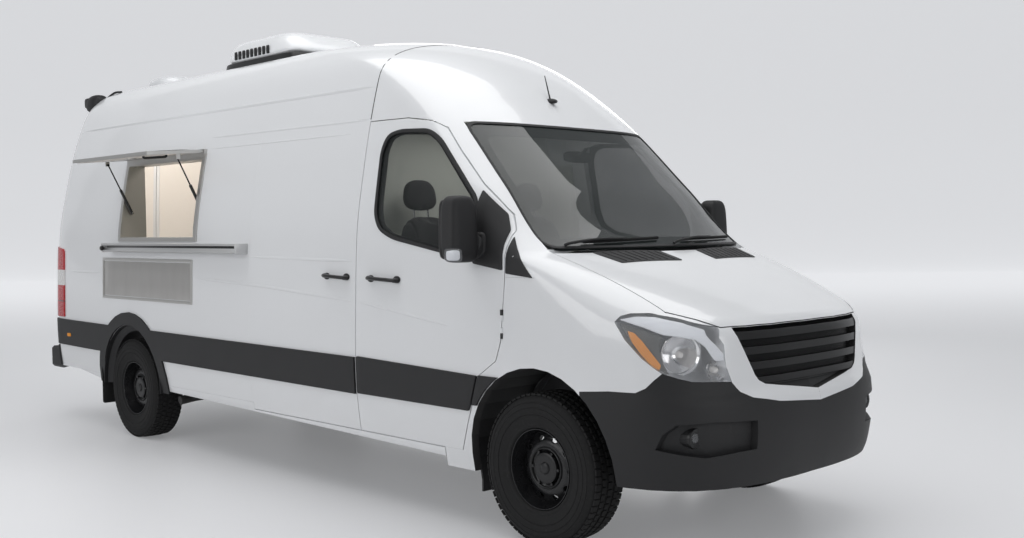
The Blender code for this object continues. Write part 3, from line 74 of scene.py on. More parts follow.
def linked(name, data):
    """A new object of the scene."""
    made = bpy.data.objects.new(name, data)
    bpy.context.scene.collection.objects.link(made)
    return made


def mesh_of(name, bm):
    """A bmesh written to a new mesh, and freed."""
    mesh = bpy.data.meshes.new(name)
    bm.to_mesh(mesh)
    bm.free()
    return mesh


def take_in(whole, part):
    """Adds one bmesh to another, and frees it."""
    mesh = mesh_of("part", part)
    whole.from_mesh(mesh)
    bpy.data.meshes.remove(mesh)


# %% [markdown]
# ## The photographer's place
# The camera stands low at the van's right front corner. Its lens, height and angles were worked out from the
# van's own edges, so that the model fills the frame as the van does.

# %% Camera
LENS_PIXELS, RISE_PIXELS, IMAGE_WIDTH, SENSOR = 1125.0, 18.7, 1024, 36.0
CAMERA_PLACE = Vector((3.840, -4.889, 1.563))
YAW, PITCH, ROLL = (math.radians(a) for a in (45.60, -2.94, -0.59))
forward = Vector((-math.sin(YAW) * math.cos(PITCH), math.cos(YAW) * math.cos(PITCH), math.sin(PITCH)))
level = Vector((math.cos(YAW), math.sin(YAW), 0.0))
upright = level.cross(forward)
across = level * math.cos(ROLL) + upright * math.sin(ROLL)
upward = upright * math.cos(ROLL) - level * math.sin(ROLL)
camera = linked("camera", bpy.data.cameras.new("camera"))
camera.data.sensor_width = SENSOR
camera.data.lens = LENS_PIXELS * SENSOR / IMAGE_WIDTH
camera.data.shift_y = RISE_PIXELS / IMAGE_WIDTH
camera.data.clip_end = 200.0
turn = Matrix((across, upward, -forward)).transposed().to_4x4()
camera.matrix_world = Matrix.Translation(CAMERA_PLACE + SHIFT) @ turn
bpy.context.scene.camera = camera

# %% [markdown]
# ## Shader maths
# A finish is a small node tree. One class wraps a socket, so that `1 - mask * 0.3` adds its Math nodes, and one
# method adds any other node with its settings first and its values or links after.


# %% Sockets as numbers
class Socket:
    """An output of a shader tree that can be added, multiplied and compared like a number."""

    def __init__(self, look, out):
        self.look, self.out = look, out

    def math(self, operation, *values):
        return self.look.node("ShaderNodeMath", dict(enumerate(values)), operation=operation)

    def __add__(self, other):
        return self.math("ADD", self, other)

    def __sub__(self, other):
        return self.math("SUBTRACT", self, other)

    def __rsub__(self, other):
        return self.math("SUBTRACT", other, self)

    def __mul__(self, other):
        return self.math("MULTIPLY", self, other)

    __radd__ = __add__
    __rmul__ = __mul__

    def sine(self):
        return self.math("SINE", self)

    def between(self, low, high):
        """0 below low, 1 above high, smooth between them."""
        values = {"Value": self, "From Min": low, "From Max": high}
        return self.look.node("ShaderNodeMapRange", values, interpolation_type="SMOOTHSTEP", clamp=True)


class Look:
    """One finish: a Principled shader whose inputs take numbers, colours or sockets, and the slot it belongs to."""

    def __init__(self, name, slot=None):
        self.slot = slot
        self.material = bpy.data.materials.new(name)
        self.material.use_nodes = True
        self.tree = self.material.node_tree
        self.shader = self.tree.nodes["Principled BSDF"]
        self.place = self.node("ShaderNodeTexCoord", {}, out="Object")

    def node(self, kind, values, out=0, **settings):
        made = self.tree.nodes.new(kind)
        for name, value in settings.items():
            setattr(made, name, value)
        for name, value in values.items():
            self.feed(made.inputs[name], value)
        return Socket(self, made.outputs[out])

    def feed(self, socket, value):
        if isinstance(value, Socket):
            self.tree.links.new(value.out, socket)
        elif isinstance(value, (tuple, list)) and len(value) == 3 and socket.type == "RGBA":
            socket.default_value = (*value, 1.0)
        else:
            socket.default_value = value

    def set(self, **values):
        for name, value in values.items():
            self.feed(self.shader.inputs[name.replace("_", " ")], value)
        return self

    def noise(self, scale, detail=2.0, roughness=0.5, stretch=None):
        where = self.place
        if stretch:
            where = self.node("ShaderNodeMapping", {"Vector": where, "Scale": stretch})
        values = {"Vector": where, "Scale": scale, "Detail": detail, "Roughness": roughness}
        return self.node("ShaderNodeTexNoise", values, out="Fac")

    def axes(self):
        split = self.tree.nodes.new("ShaderNodeSeparateXYZ")
        self.tree.links.new(self.place.out, split.inputs[0])
        return [Socket(self, split.outputs[i]) for i in range(3)]

    def blend(self, factor, first, second):
        values = {"Factor": factor, 6: first, 7: second}
        return self.node("ShaderNodeMix", values, out=2, data_type="RGBA")

    def bump(self, height, distance):
        self.set(Normal=self.node("ShaderNodeBump", {"Height": height, "Distance": distance, "Strength": 1.0}))
        return self


print("shader helpers ready")

# %% [markdown]
# ## The finishes of the van
# Solid white lacquer over steel has a faint orange-peel and a little road film low down. Unpainted plastic is
# grained and slightly chalky. Brushed stainless steel has long fine streaks. Each is mixed from noise in the
# piece's own coordinates, so that it stays with the piece when a door swings.


# %% Paint
def paint_look(name, slot, colour, film):
    look = Look(name, slot)
    height = look.axes()[2]
    low = 1 - height.between(-0.55, 0.25)
    dust = look.noise(3.0, 6.0, 0.6).between(0.42, 0.75) * low * film
    cloud = look.noise(1.1, 3.0) * 0.03
    body = look.blend(dust + cloud, colour, (0.52, 0.49, 0.45))
    look.set(Base_Color=body, Roughness=0.2 + dust * 0.8 + look.noise(40.0, 3.0) * 0.05)
    look.set(Coat_Weight=0.7 - dust, Coat_Roughness=0.04, Specular_IOR_Level=0.5)
    return look.bump(look.noise(260.0, 2.0), 0.00012)


def plastic_look(name, slot, colour, roughness, grain=900.0, depth=0.00035, chalk=0.35):
    look = Look(name, slot)
    cloud = look.noise(5.0, 5.0, 0.6)
    scuff = look.noise(24.0, 8.0, 0.7, (1.0, 1.0, 6.0)).between(0.60, 0.72) * chalk
    pale = tuple(c * 1.7 + 0.006 for c in colour)
    look.set(Base_Color=look.blend(cloud * 0.35 + scuff * 0.5, colour, pale))
    look.set(Roughness=roughness + cloud * 0.12 + scuff * 0.15, Specular_IOR_Level=0.4)
    return look.bump(look.noise(grain, 2.0, 0.7), depth)


def metal_look(name, slot, colour, roughness, stretch, streak=0.12):
    look = Look(name, slot)
    brushed = look.noise(60.0, 4.0, 0.65, stretch)
    cloud = look.noise(2.3, 4.0)
    dark = tuple(c * 0.8 for c in colour)
    look.set(Base_Color=look.blend(brushed * 0.6 + cloud * 0.25, colour, dark), Metallic=1.0)
    look.set(Roughness=roughness + brushed * streak + cloud * 0.08)
    return look.bump(brushed, 0.0001)


PAINT = paint_look("white_lacquer", "white_paint", (0.84, 0.85, 0.865), 0.05)
PLASTIC = plastic_look("grained_black_plastic", "black_plastic", (0.013, 0.013, 0.014), 0.48)
GLOSS_PLASTIC = plastic_look("smooth_black_plastic", "black_plastic", (0.009, 0.009, 0.0095), 0.24, 300.0, 0.0001, 0.15)
STAINLESS = metal_look("brushed_stainless", "stainless", (0.62, 0.61, 0.59), 0.24, (0.25, 1.0, 14.0))
CHROME = metal_look("bright_reflector", "clear_lamp", (0.86, 0.86, 0.87), 0.06, (1.0, 1.0, 1.0), 0.05)
print("paint, plastic and metal mixed")


# %% Rubber, cloth, glass and the underbody
def rubber_look(name, slot):
    look = Look(name, slot)
    cloud = look.noise(14.0, 6.0, 0.65)
    dust = look.noise(60.0, 4.0).between(0.52, 0.8)
    look.set(Base_Color=look.blend(dust * 0.35 + cloud * 0.25, (0.009, 0.009, 0.0095), (0.032, 0.031, 0.030)))
    look.set(Roughness=0.72 + cloud * 0.2, Specular_IOR_Level=0.35)
    return look.bump(look.noise(420.0, 3.0), 0.0004)


def cloth_look(name, slot, dark, pale, pitch):
    look = Look(name, slot)
    across, along, up = look.axes()
    weave = ((across + up * 0.6) * pitch).sine() * ((along + up * 0.8) * pitch).sine() * 0.5 + 0.5
    fleck = look.noise(180.0, 3.0).between(0.5, 0.7)
    look.set(Base_Color=look.blend(weave * 0.25 + fleck * 0.4, dark, pale), Roughness=0.85 + fleck * 0.1)
    look.set(Sheen_Weight=0.12, Sheen_Roughness=0.5)
    return look.bump(weave * 0.3 + fleck, 0.0003)


def glass_look(name, slot, tint, alpha, roughness=0.02):
    look = Look(name, slot)
    smear = look.noise(3.5, 4.0, 0.6, (1.0, 1.0, 0.4)).between(0.45, 0.8)
    look.set(Base_Color=look.blend(smear * 0.15, tint, (0.30, 0.32, 0.32)))
    look.set(Alpha=alpha + smear * 0.03, Roughness=roughness + smear * 0.03, IOR=1.5)
    look.set(Coat_Weight=0.5, Coat_Roughness=0.01)
    look.material.surface_render_method = "BLENDED"
    return look.bump(look.noise(2.0, 2.0), 0.0008)


def lining_look(name, slot, colour, dark):
    look = Look(name, slot)
    cloud = look.noise(2.0, 5.0, 0.6)
    speck = look.noise(90.0, 4.0).between(0.55, 0.8)
    look.set(Base_Color=look.blend(cloud * 0.3 + speck * 0.2, colour, dark), Roughness=0.45 + cloud * 0.2)
    return look.bump(look.noise(350.0, 2.0), 0.0002)


RUBBER = rubber_look("tyre_rubber", "tyre")
CLOTH = cloth_look("seat_weave", "cloth", (0.010, 0.010, 0.011), (0.024, 0.024, 0.026), 900.0)
GLASS = glass_look("tinted_side_glass", "tinted_glass", (0.012, 0.016, 0.015), 0.26)
SCREEN = glass_look("windscreen_glass", "tinted_glass", (0.012, 0.018, 0.017), 0.66)
LENS = glass_look("clear_lamp_lens", "clear_lamp", (0.75, 0.77, 0.80), 0.16, 0.03)
LINING = lining_look("grey_wall_lining", "lining", (0.58, 0.60, 0.54), (0.42, 0.43, 0.38))
CREAM = lining_look("cream_wall_panel", "lining", (0.90, 0.86, 0.81), (0.80, 0.73, 0.66))
TRIM = plastic_look("cab_trim", "cab_trim", (0.040, 0.040, 0.043), 0.62, 600.0, 0.0005, 0.2)
CHASSIS = plastic_look("underbody_wax", "chassis_paint", (0.035, 0.034, 0.034), 0.62, 220.0, 0.0008, 0.7)
BLACK_STEEL = plastic_look("black_wheel_steel", "black_steel", (0.009, 0.009, 0.010), 0.20, 500.0, 0.0001, 0.3)
print("rubber, cloth, glass and lining mixed")

# %% [markdown]
# ## The studio
# A pale floor that curves up into a backdrop, with large soft lamps above, in front and on both sides: even light
# that keeps the white panels below clipping, with a soft shadow that ties the wheels to the floor.

# %% Floor, backdrop and lamps
GROUND = SHIFT.z
FLOOR_HALF, BACK, BEND, RISE = 70.0, 34.0, 6.0, 30.0


def sweep_mesh(name, profile, half):
    """A strip along X whose cross section is a list of (y, z) points."""
    bm = bmesh.new()
    rows = [[bm.verts.new((x, y, z)) for y, z in profile] for x in (-half, half)]
    for i in range(len(profile) - 1):
        bm.faces.new((rows[0][i], rows[1][i], rows[1][i + 1], rows[0][i + 1])).smooth = True
    return mesh_of(name, bm)


bend = [math.radians(6 * i) for i in range(16)]
curve = [(BACK - BEND + BEND * math.sin(a), BEND - BEND * math.cos(a)) for a in bend]
backdrop = linked("backdrop", sweep_mesh("backdrop", [(-FLOOR_HALF, 0.0), *curve, (BACK, RISE)], FLOOR_HALF))
backdrop.matrix_world = Matrix.Translation((1.0, 1.0, GROUND)) @ Matrix.Rotation(YAW, 4, "Z")
floor = Look("pale_floor")
floor.set(Base_Color=floor.blend(floor.noise(0.6, 3.0) * 0.2, (0.66, 0.66, 0.67), (0.62, 0.62, 0.635)))
floor.set(Roughness=0.42, Emission_Color=(0.86, 0.87, 0.89))
rays = ("Camera", "Glossy", "Transmission")
seen = sum(floor.node("ShaderNodeLightPath", {}, out=f"Is {kind} Ray") for kind in rays)
floor.set(Emission_Strength=seen * (0.20 + floor.axes()[1].between(-2.0, 22.0) * 0.36))
backdrop.data.materials.append(floor.material)


def area_lamp(name, place, aim, size, watts, colour=(1.0, 1.0, 1.0)):
    """A soft lamp at a place of the van's frame. It looks at its aim or, without one, straight down."""
    lamp = bpy.data.lights.new(name, "AREA")
    lamp.shape, lamp.size, lamp.size_y, lamp.energy, lamp.color = "RECTANGLE", *size, watts, colour
    holder = linked(name, lamp)
    place = Vector(place) + SHIFT
    ray = Vector(aim) + SHIFT - place if aim else None
    turned_to = ray.to_track_quat("-Z", "Y").to_matrix().to_4x4() if aim else Matrix.Identity(4)
    holder.matrix_world = Matrix.Translation(place) @ turned_to
    return holder


area_lamp("overhead", (-1.5, -0.5, 6.5), (-2.0, 0.0, 0.0), (9.0, 5.0), 250.0)
area_lamp("right_side", (-2.5, -8.5, 3.2), (-2.5, 0.0, 1.2), (8.0, 3.5), 150.0)
area_lamp("front", (8.0, -1.0, 3.2), (0.5, 0.0, 1.1), (5.0, 3.5), 105.0)
area_lamp("left_rear", (-7.0, 6.5, 4.0), (-3.0, 0.5, 1.2), (5.0, 3.0), 120.0)
world = bpy.context.scene.world or bpy.data.worlds.new("studio")
bpy.context.scene.world = world
world.use_nodes = True
background = world.node_tree.nodes["Background"].inputs
background["Color"].default_value = (0.80, 0.82, 0.85, 1.0)
background["Strength"].default_value = 0.42
bpy.context.scene.view_settings.view_transform = "Standard"
print("studio lit")

# %% [markdown]
# ## The body's smooth skin
# The CAD body is a loft between level outlines, drawn with few facets. The real one is pressed steel without a
# facet anywhere. The same outlines are therefore lofted again, many times finer. Every painted panel of the
# frame is then cut into small faces and moved from the coarse loft onto the fine one, and its shading normals
# come from the fine loft. Openings, hems and gaps stay where they are.

# %% Level outlines of the body
FLANK = (
    (0.24, 0.925), (0.41, 0.957), (0.62, 0.981), (0.83, 0.988), (1.16, 0.981), (1.52, 0.966), (1.98, 0.896),
    (2.22, 0.845), (2.51, 0.767), (2.62, 0.72), (2.70, 0.65), (2.75, 0.56), (2.78, 0.44), (2.795, 0.28), (2.80, 0.10),
)
NOSE = (
    (0.24, 0.90, 0.70, 3.0), (0.45, 0.985, 0.74, 3.0), (0.62, 1.0, 0.75, 3.0), (0.75, 0.990, 0.75, 3.0),
    (0.83, 0.955, 0.74, 3.0), (0.95, 0.942, 0.74, 2.9), (1.06, 0.928, 0.74, 2.9), (1.12, 0.893, 0.72, 2.8),
    (1.18, 0.79, 0.66, 2.8), (1.25, 0.645, 0.60, 2.8), (1.33, 0.455, 0.51, 2.7), (1.40, 0.26, 0.42, 2.6),
    (1.46, 0.095, 0.39, 2.6), (1.80, -0.27, 0.38, 2.8), (2.15, -0.635, 0.38, 3.2), (2.31, -0.795, 0.42, 3.0),
    (2.52, -1.03, 0.55, 2.6), (2.66, -1.27, 0.70, 2.4), (2.74, -1.55, 0.9, 2.2), (2.78, -1.95, 1.0, 2.0),
    (2.795, -2.35, 1.0, 2.0), (2.80, -2.85, 1.0, 2.0),
)
TAIL = (
    (0.24, -5.86, 0.26), (1.50, -5.85, 0.27), (2.13, -5.81, 0.30), (2.51, -5.76, 0.36), (2.66, -5.71, 0.42),
    (2.74, -5.65, 0.5), (2.78, -5.55, 0.6), (2.795, -5.40, 0.7), (2.80, -5.15, 0.7),
)
LEVELS = (
    0.24, 0.41, 0.62, 0.75, 0.83, 0.95, 1.06, 1.12, 1.18, 1.25, 1.33, 1.40, 1.46, 1.60, 1.80, 1.98, 2.15, 2.31, 2.42,
    2.52, 2.60, 2.66, 2.71, 2.74, 2.765, 2.78, 2.79, 2.80,
)
COARSE_STEPS, FINE_STEPS = (9, 5, 6), (45, 12, 30)
TAIL_SQUARENESS, REAR_TAPER, TAPER_START, TAPER_LENGTH = 4.2, 0.035, -4.3, 1.56


def smooth(table, at, column=1):
    """A monotone cubic through the table's rows, read at one height."""
    xs, ys = [row[0] for row in table], [row[column] for row in table]
    if at <= xs[0]:
        return ys[0]
    if at >= xs[-1]:
        return ys[-1]
    slopes = [(ys[i + 1] - ys[i]) / (xs[i + 1] - xs[i]) for i in range(len(xs) - 1)]
    i = max(k for k in range(len(xs) - 1) if xs[k] <= at)

    def tangent(k):
        if k in (0, len(xs) - 1):
            return slopes[min(k, len(slopes) - 1)]
        left, right = slopes[k - 1], slopes[k]
        return 0 if left * right <= 0 else 2 * left * right / (left + right)

    width = xs[i + 1] - xs[i]
    t = (at - xs[i]) / width
    a, b, c, d = 2 * t**3 - 3 * t**2 + 1, t**3 - 2 * t**2 + t, 3 * t**2 - 2 * t**3, t**3 - t**2
    return a * ys[i] + b * width * tangent(i) + c * ys[i + 1] + d * width * tangent(i + 1)


def outline(height, steps):
    """The whole level outline at one height, nose, right flank, tail, left flank."""
    width = smooth(FLANK, height)
    nose, rounding, square = (smooth(NOSE, height, k) for k in (1, 2, 3))
    tail, tail_rounding = (smooth(TAIL, height, k) for k in (1, 2))
    start, end = nose - rounding, tail + tail_rounding
    points = []
    for i in range(steps[0] + 1):
        angle = math.pi / 2 * i / steps[0]
        points.append((start + rounding * math.cos(angle) ** (2 / square), width * math.sin(angle) ** (2 / square)))
    points += [(start + (end - start) * i / steps[1], width) for i in range(1, steps[1] + 1)]
    for i in range(1, steps[2] + 1):
        angle = math.pi / 2 * (1 - i / steps[2])
        x = end - tail_rounding * math.cos(angle) ** (2 / TAIL_SQUARENESS)
        points.append((x, width * math.sin(angle) ** (2 / TAIL_SQUARENESS)))
    right = []
    for x, y in points:
        reach = max(0.0, TAPER_START - x) / TAPER_LENGTH
        right.append((x, -y * (1 - REAR_TAPER * reach * reach)))
    return right + [(x, -y) for x, y in reversed(right[1:-1])]


def loft(heights, steps):
    """Vertices and triangles of the closed body loft, in the van's frame."""
    rings = [[Vector((x, y, z)) for x, y in outline(z, steps)] for z in heights]
    count = len(rings[0])
    verts = [v for ring in rings for v in ring]
    faces = []
    for k in range(len(rings) - 1):
        for i in range(count):
            j = (i + 1) % count
            a, b, c, d = k * count + i, k * count + j, (k + 1) * count + j, (k + 1) * count + i
            faces += [(a, b, c), (a, c, d)]
    top = (len(rings) - 1) * count
    half = count // 2
    for i in range(1, half):
        left = top + count - i - 1
        faces += [(top + i, top + (count - i) % count, left), (top + i, left, top + i + 1)]
    faces.append((top, top + count - 1, top + 1))
    return verts, faces


SPLITS = 6
fine_heights = []
for low, high in zip(LEVELS, LEVELS[1:]):
    fine_heights += [low + (high - low) * i / SPLITS for i in range(SPLITS)]
fine_heights.append(LEVELS[-1])
coarse_verts, coarse_faces = loft(LEVELS, COARSE_STEPS)
fine_verts, fine_faces = loft(fine_heights, FINE_STEPS)
COARSE = BVHTree.FromPolygons(coarse_verts, coarse_faces)
FINE = BVHTree.FromPolygons(fine_verts, fine_faces)
print("lofts:", len(coarse_faces), "coarse and", len(fine_faces), "fine faces")


# %% Normals of the fine loft
def loft_normals(verts, faces):
    """Area-weighted normals of the loft's vertices, pointing away from a level line through the body."""
    points, index = np.array([tuple(v) for v in verts]), np.array(faces)
    a, b, c = points[index[:, 0]], points[index[:, 1]], points[index[:, 2]]
    cross = np.cross(b - a, c - a)
    middle = (a + b + c) / 3
    line = np.stack((np.clip(middle[:, 0], -4.8, -0.4), np.zeros(len(index)), np.full(len(index), 1.2)), axis=1)
    cross *= np.sign((cross * (middle - line)).sum(1))[:, None]
    total = np.zeros_like(points)
    for k in range(3):
        np.add.at(total, index[:, k], cross)
    return total / np.linalg.norm(total, axis=1)[:, None]


FINE_NORMALS = loft_normals(fine_verts, fine_faces)


def skin_normal(point):
    """The smooth outward normal of the body's skin nearest to a point."""
    place, _, face, _ = FINE.find_nearest(point)
    corners = fine_faces[face]
    weights = poly_3d_calc([fine_verts[i] for i in corners], place)
    mixed = sum((FINE_NORMALS[i] * w for i, w in zip(corners, weights)), np.zeros(3))
    return Vector(mixed).normalized()


HELD_DEPTH, BLEND_DEPTH, REACH = 0.075, 0.05, 0.16


def onto_fine(point):
    """A point near the coarse loft moved with the skin onto the fine loft. Deep points stay where they are."""
    near, _, _, distance = COARSE.find_nearest(point)
    depth = (point - near).dot(skin_normal(near))
    if depth < -HELD_DEPTH or distance > REACH:
        return point
    share = min(1.0, max(0.0, (depth + HELD_DEPTH) / BLEND_DEPTH))
    return point + (FINE.find_nearest(near)[0] - near) * share


print("skin normals ready")


# %% Panels cut fine and moved onto the skin
STOPS = (
    ((-1.7, 0.05, 56), (-5.3, 0.3, 12), (-5.9, 0.05, 12)), ((-0.98, 0.07, 29),), ((0.25, 0.05, 43), (2.42, 0.02, 19)),
)
FLAT_ANGLE, SEARCH_MARGIN, ALONG_SKIN = math.radians(0.6), 0.03, 0.75


def slice_planes(low, high):
    """Planes that cut a panel finely where the body curves, and coarsely along its flat flank."""
    planes = []
    for axis, runs in enumerate(STOPS):
        for stop in sorted({round(i * step + start, 3) for start, step, count in runs for i in range(count)}):
            if low[axis] < stop < high[axis]:
                normal = Vector((axis == 0, axis == 1, axis == 2))
                planes.append((normal * stop, normal))
    return planes


def merged_copy(node):
    """A node's mesh in the van's frame, with its flat faces joined."""
    bm = bmesh.new()
    bm.from_mesh(NODES[node].data)
    bmesh.ops.translate(bm, verts=bm.verts, vec=-SHIFT)
    bmesh.ops.remove_doubles(bm, verts=bm.verts, dist=2 * WELD)
    bmesh.ops.dissolve_limit(bm, angle_limit=FLAT_ANGLE, verts=bm.verts, edges=bm.edges)
    return bm


def skin_faces(bm, reach):
    """The faces that lie along the body's skin, within a reach of it."""
    found = []
    for face in bm.faces:
        centre = face.calc_center_median()
        near, _, _, distance = COARSE.find_nearest(centre)
        if distance > reach + SEARCH_MARGIN:
            continue
        depths = [COARSE.find_nearest(v.co)[3] for v in face.verts]
        if max(depths) < reach and face.normal.dot(skin_normal(near)) > ALONG_SKIN:
            found.append(face)
    return found


def smooth_skin(node, look, reach=0.0015, inner_look=None):
    """A finely faceted stand-in for a panel of the frame, which it replaces. Its hidden faces may look different."""
    bm = merged_copy(node)
    low = [min(v.co[i] for v in bm.verts) for i in range(3)]
    high = [max(v.co[i] for v in bm.verts) for i in range(3)]
    marked = bm.faces.layers.int.new("skin")
    for face in skin_faces(bm, reach):
        face[marked] = 1
    for point, normal in slice_planes(low, high):
        faces = [f for f in bm.faces if f[marked]]
        parts = set(faces) | {e for f in faces for e in f.edges} | {v for f in faces for v in f.verts}
        bmesh.ops.bisect_plane(bm, geom=list(parts), dist=WELD, plane_co=point, plane_no=normal)
    for vert in bm.verts:
        vert.co = onto_fine(vert.co)
    bmesh.ops.triangulate(bm, faces=[f for f in bm.faces if len(f.verts) > 4])
    skins = [bool(f[marked]) for f in bm.faces]
    normals, cache = [], {}
    for face, skin in zip(bm.faces, skins):
        face.smooth = True
        for vert in face.verts:
            if skin and vert.index not in cache:
                cache[vert.index] = skin_normal(vert.co)
            normals.append(cache[vert.index] if skin else face.normal.copy())
        face.material_index = int(bool(inner_look) and not skin)
    bmesh.ops.translate(bm, verts=bm.verts, vec=SHIFT)
    name = node + "_skin"
    mesh = mesh_of(name, bm)
    mesh.normals_split_custom_set(normals)
    made = linked(name, mesh)
    for finish in filter(None, (look, inner_look)):
        mesh.materials.append(finish.material)
    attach(made, NODES[node]["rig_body"])
    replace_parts(made, node)
    return made


PAINTED = (
    "roof_panel cab_shell front_wing_right front_wing_left side_wall_right side_wall_left sliding_door bonnet "
    "front_door_right front_door_left rear_door_right rear_door_left"
)
for node in PAINTED.split():
    made = smooth_skin(node, PAINT, inner_look=CHASSIS if "wing" in node else None)
    print(node, len(made.data.polygons), "faces")

# %% [markdown]
# ## Plates that follow the skin
# Bands, trims, lamp lenses and handles lie on the curved body. Each starts as a flat outline with a thickness, is
# cut into small faces, and is then laid onto the skin: its two flat directions follow the side, front or top view,
# and its thickness follows the skin's normal.


# %% Laying flat plates onto the skin
def view_onto(origin, direction):
    """A function that lays (u, v, out) onto the skin seen along a direction: out is the height over the skin."""
    def place(u, v, out):
        start = Vector(origin(u, v))
        point = FINE.ray_cast(start, Vector(direction))[0] or FINE.find_nearest(start)[0]
        return point + skin_normal(point) * out
    return place


def on_flank(side):
    return view_onto(lambda x, z: (x, SIDES[side] * 2.0, z), (0, -SIDES[side], 0))


on_nose = view_onto(lambda y, z: (3.0, y, z), (-1, 0, 0))
on_tail = view_onto(lambda y, z: (-8.0, y, z), (1, 0, 0))
on_top = view_onto(lambda x, y: (x, y, 4.0), (0, 0, -1))


def oblong(u0, v0, u1, v1):
    """The corners of a rectangle."""
    return [(u0, v0), (u1, v0), (u1, v1), (u0, v1)]


def circle(radius, steps, centre=(0.0, 0.0), squash=1.0, turn=0.0):
    """Points on a circle or, turned to an angle, on an ellipse."""
    points, (cosine, sine) = [], (math.cos(turn), math.sin(turn))
    for k in range(steps):
        a = math.tau * k / steps
        u, v = radius * squash * math.cos(a), radius * math.sin(a)
        points.append((centre[0] + u * cosine - v * sine, centre[1] + u * sine + v * cosine))
    return points


def stretch(start, end, steps):
    """Points from start to end in equal steps."""
    return [tuple(a + (b - a) * k / steps for a, b in zip(start, end)) for k in range(steps + 1)]


def rounded(outline, radius, steps=4):
    """An outline with its corners rounded by short arcs."""
    points = []
    count = len(outline)
    for i in range(count):
        before, here, after = (Vector(outline[j % count]) for j in (i - 1, i, i + 1))
        reach = min(radius, (before - here).length * 0.45, (after - here).length * 0.45)
        start, end = here + (before - here).normalized() * reach, here + (after - here).normalized() * reach
        for k in range(steps + 1):
            t = k / steps
            points.append(tuple(start * (1 - t) ** 2 + here * 2 * t * (1 - t) + end * t**2))
    return points


def flat_plate(outline, low, high, holes=(), bevel=0.0, grid=0.05):
    """A flat plate in (u, v, w) with optional holes and a rounded upper rim, cut by a grid."""
    bm = bmesh.new()
    for loop in (outline, *holes):
        verts = [bm.verts.new((u, v, low)) for u, v in loop]
        for a, b in zip(verts, verts[1:] + verts[:1]):
            bm.edges.new((a, b))
    bmesh.ops.triangle_fill(bm, edges=bm.edges[:], use_beauty=True, use_dissolve=False, normal=(0, 0, 1))
    bmesh.ops.dissolve_limit(bm, angle_limit=0.01, verts=bm.verts, edges=bm.edges)
    pulled = bmesh.ops.extrude_face_region(bm, geom=bm.faces[:])["geom"]
    top = {g for g in pulled if isinstance(g, bmesh.types.BMVert)}
    bmesh.ops.translate(bm, verts=list(top), vec=(0, 0, high - low))
    bmesh.ops.recalc_face_normals(bm, faces=bm.faces)
    if bevel:
        rim = [e for e in bm.edges if e.verts[0] in top and e.verts[1] in top and e.calc_face_angle(0.0) > 0.7]
        bmesh.ops.bevel(bm, geom=rim, offset=bevel, segments=2, profile=0.5, affect="EDGES", clamp_overlap=True)
    for axis in (0, 1):
        reaches = [v.co[axis] for v in bm.verts]
        low_end, high_end = min(reaches), max(reaches)
        for i in range(1, int((high_end - low_end) / grid) + 1):
            normal = Vector((axis == 0, axis == 1, 0))
            parts, place = bm.verts[:] + bm.edges[:] + bm.faces[:], normal * (low_end + i * grid)
            bmesh.ops.bisect_plane(bm, geom=parts, dist=WELD, plane_co=place, plane_no=normal)
    return bm


def piece(name, bm, look, smooth_angle=40.0, body="van_body", slot=None):
    """A finished mesh piece: closed, facing outwards, smooth up to an angle, riding on its body."""
    bmesh.ops.remove_doubles(bm, verts=bm.verts, dist=WELD)
    bmesh.ops.recalc_face_normals(bm, faces=bm.faces)
    bmesh.ops.translate(bm, verts=bm.verts, vec=SHIFT)
    limit = math.radians(smooth_angle)
    for face in bm.faces:
        face.smooth = True
    for edge in bm.edges:
        edge.smooth = edge.calc_face_angle(0.0) < limit
    made = linked(name, mesh_of(name, bm))
    made.data.materials.append(look.material)
    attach(made, body)
    slot or look.slot
    return made


def skin_plate(name, outline, low, high, place, look, holes=(), bevel=0.0015, grid=0.05, body="van_body", slot=None):
    """A flat plate laid onto the skin through one of the placing functions."""
    bm = flat_plate(outline, low, high, holes, bevel, grid)
    for vert in bm.verts:
        vert.co = place(*vert.co)
    return piece(name, bm, look, body=body, slot=slot)


print("plates can follow the skin")

# %% [markdown]
# ## Tubes, turned pieces and rounded blocks
# Rails, hoses and handles are tubes swept along a path. Lamps, tyres and caps are profiles turned about an axis.
# Moulded housings are rounded blocks: a sphere's latitudes and longitudes pushed towards a box, which gives
# the soft corners of a moulding with few faces.


# %% Swept tubes
def ring_faces(bm, rings, closed=False):
    """Quads between successive rings of vertices, with a cap on each open end."""
    count = len(rings[0])
    pairs = list(zip(rings, rings[1:])) + ([(rings[-1], rings[0])] if closed else [])
    for lower, upper in pairs:
        for i in range(count):
            j = (i + 1) % count
            bm.faces.new((lower[i], lower[j], upper[j], upper[i]))
    if not closed:
        bm.faces.new(rings[0])
        bm.faces.new(rings[-1])


def tube_mesh(path, radius, sides=12, closed=False, flat=1.0):
    """A tube along a path. A radius may be a list with one value a point, and flat squashes its section."""
    points = [Vector(p) for p in path]
    radii = radius if isinstance(radius, (list, tuple)) else [radius] * len(points)
    bm = bmesh.new()
    rings, side = [], None
    for i, point in enumerate(points):
        before = points[i - 1] if i or closed else point
        after = points[(i + 1) % len(points)] if i + 1 < len(points) or closed else point
        along = (after - before).normalized()
        start = side or (Vector((0, 0, 1)) if abs(along.z) < 0.9 else Vector((0, 1, 0)))
        side = (start - along * start.dot(along)).normalized()
        other = along.cross(side)
        ring = []
        for k in range(sides):
            angle = math.tau * k / sides
            ring.append(bm.verts.new(point + (side * math.cos(angle) * flat + other * math.sin(angle)) * radii[i]))
        rings.append(ring)
    ring_faces(bm, rings, closed)
    return bm


def tube(name, path, radius, look, sides=12, closed=False, flat=1.0, body="van_body", slot=None):
    return piece(name, tube_mesh(path, radius, sides, closed, flat), look, body=body, slot=slot)


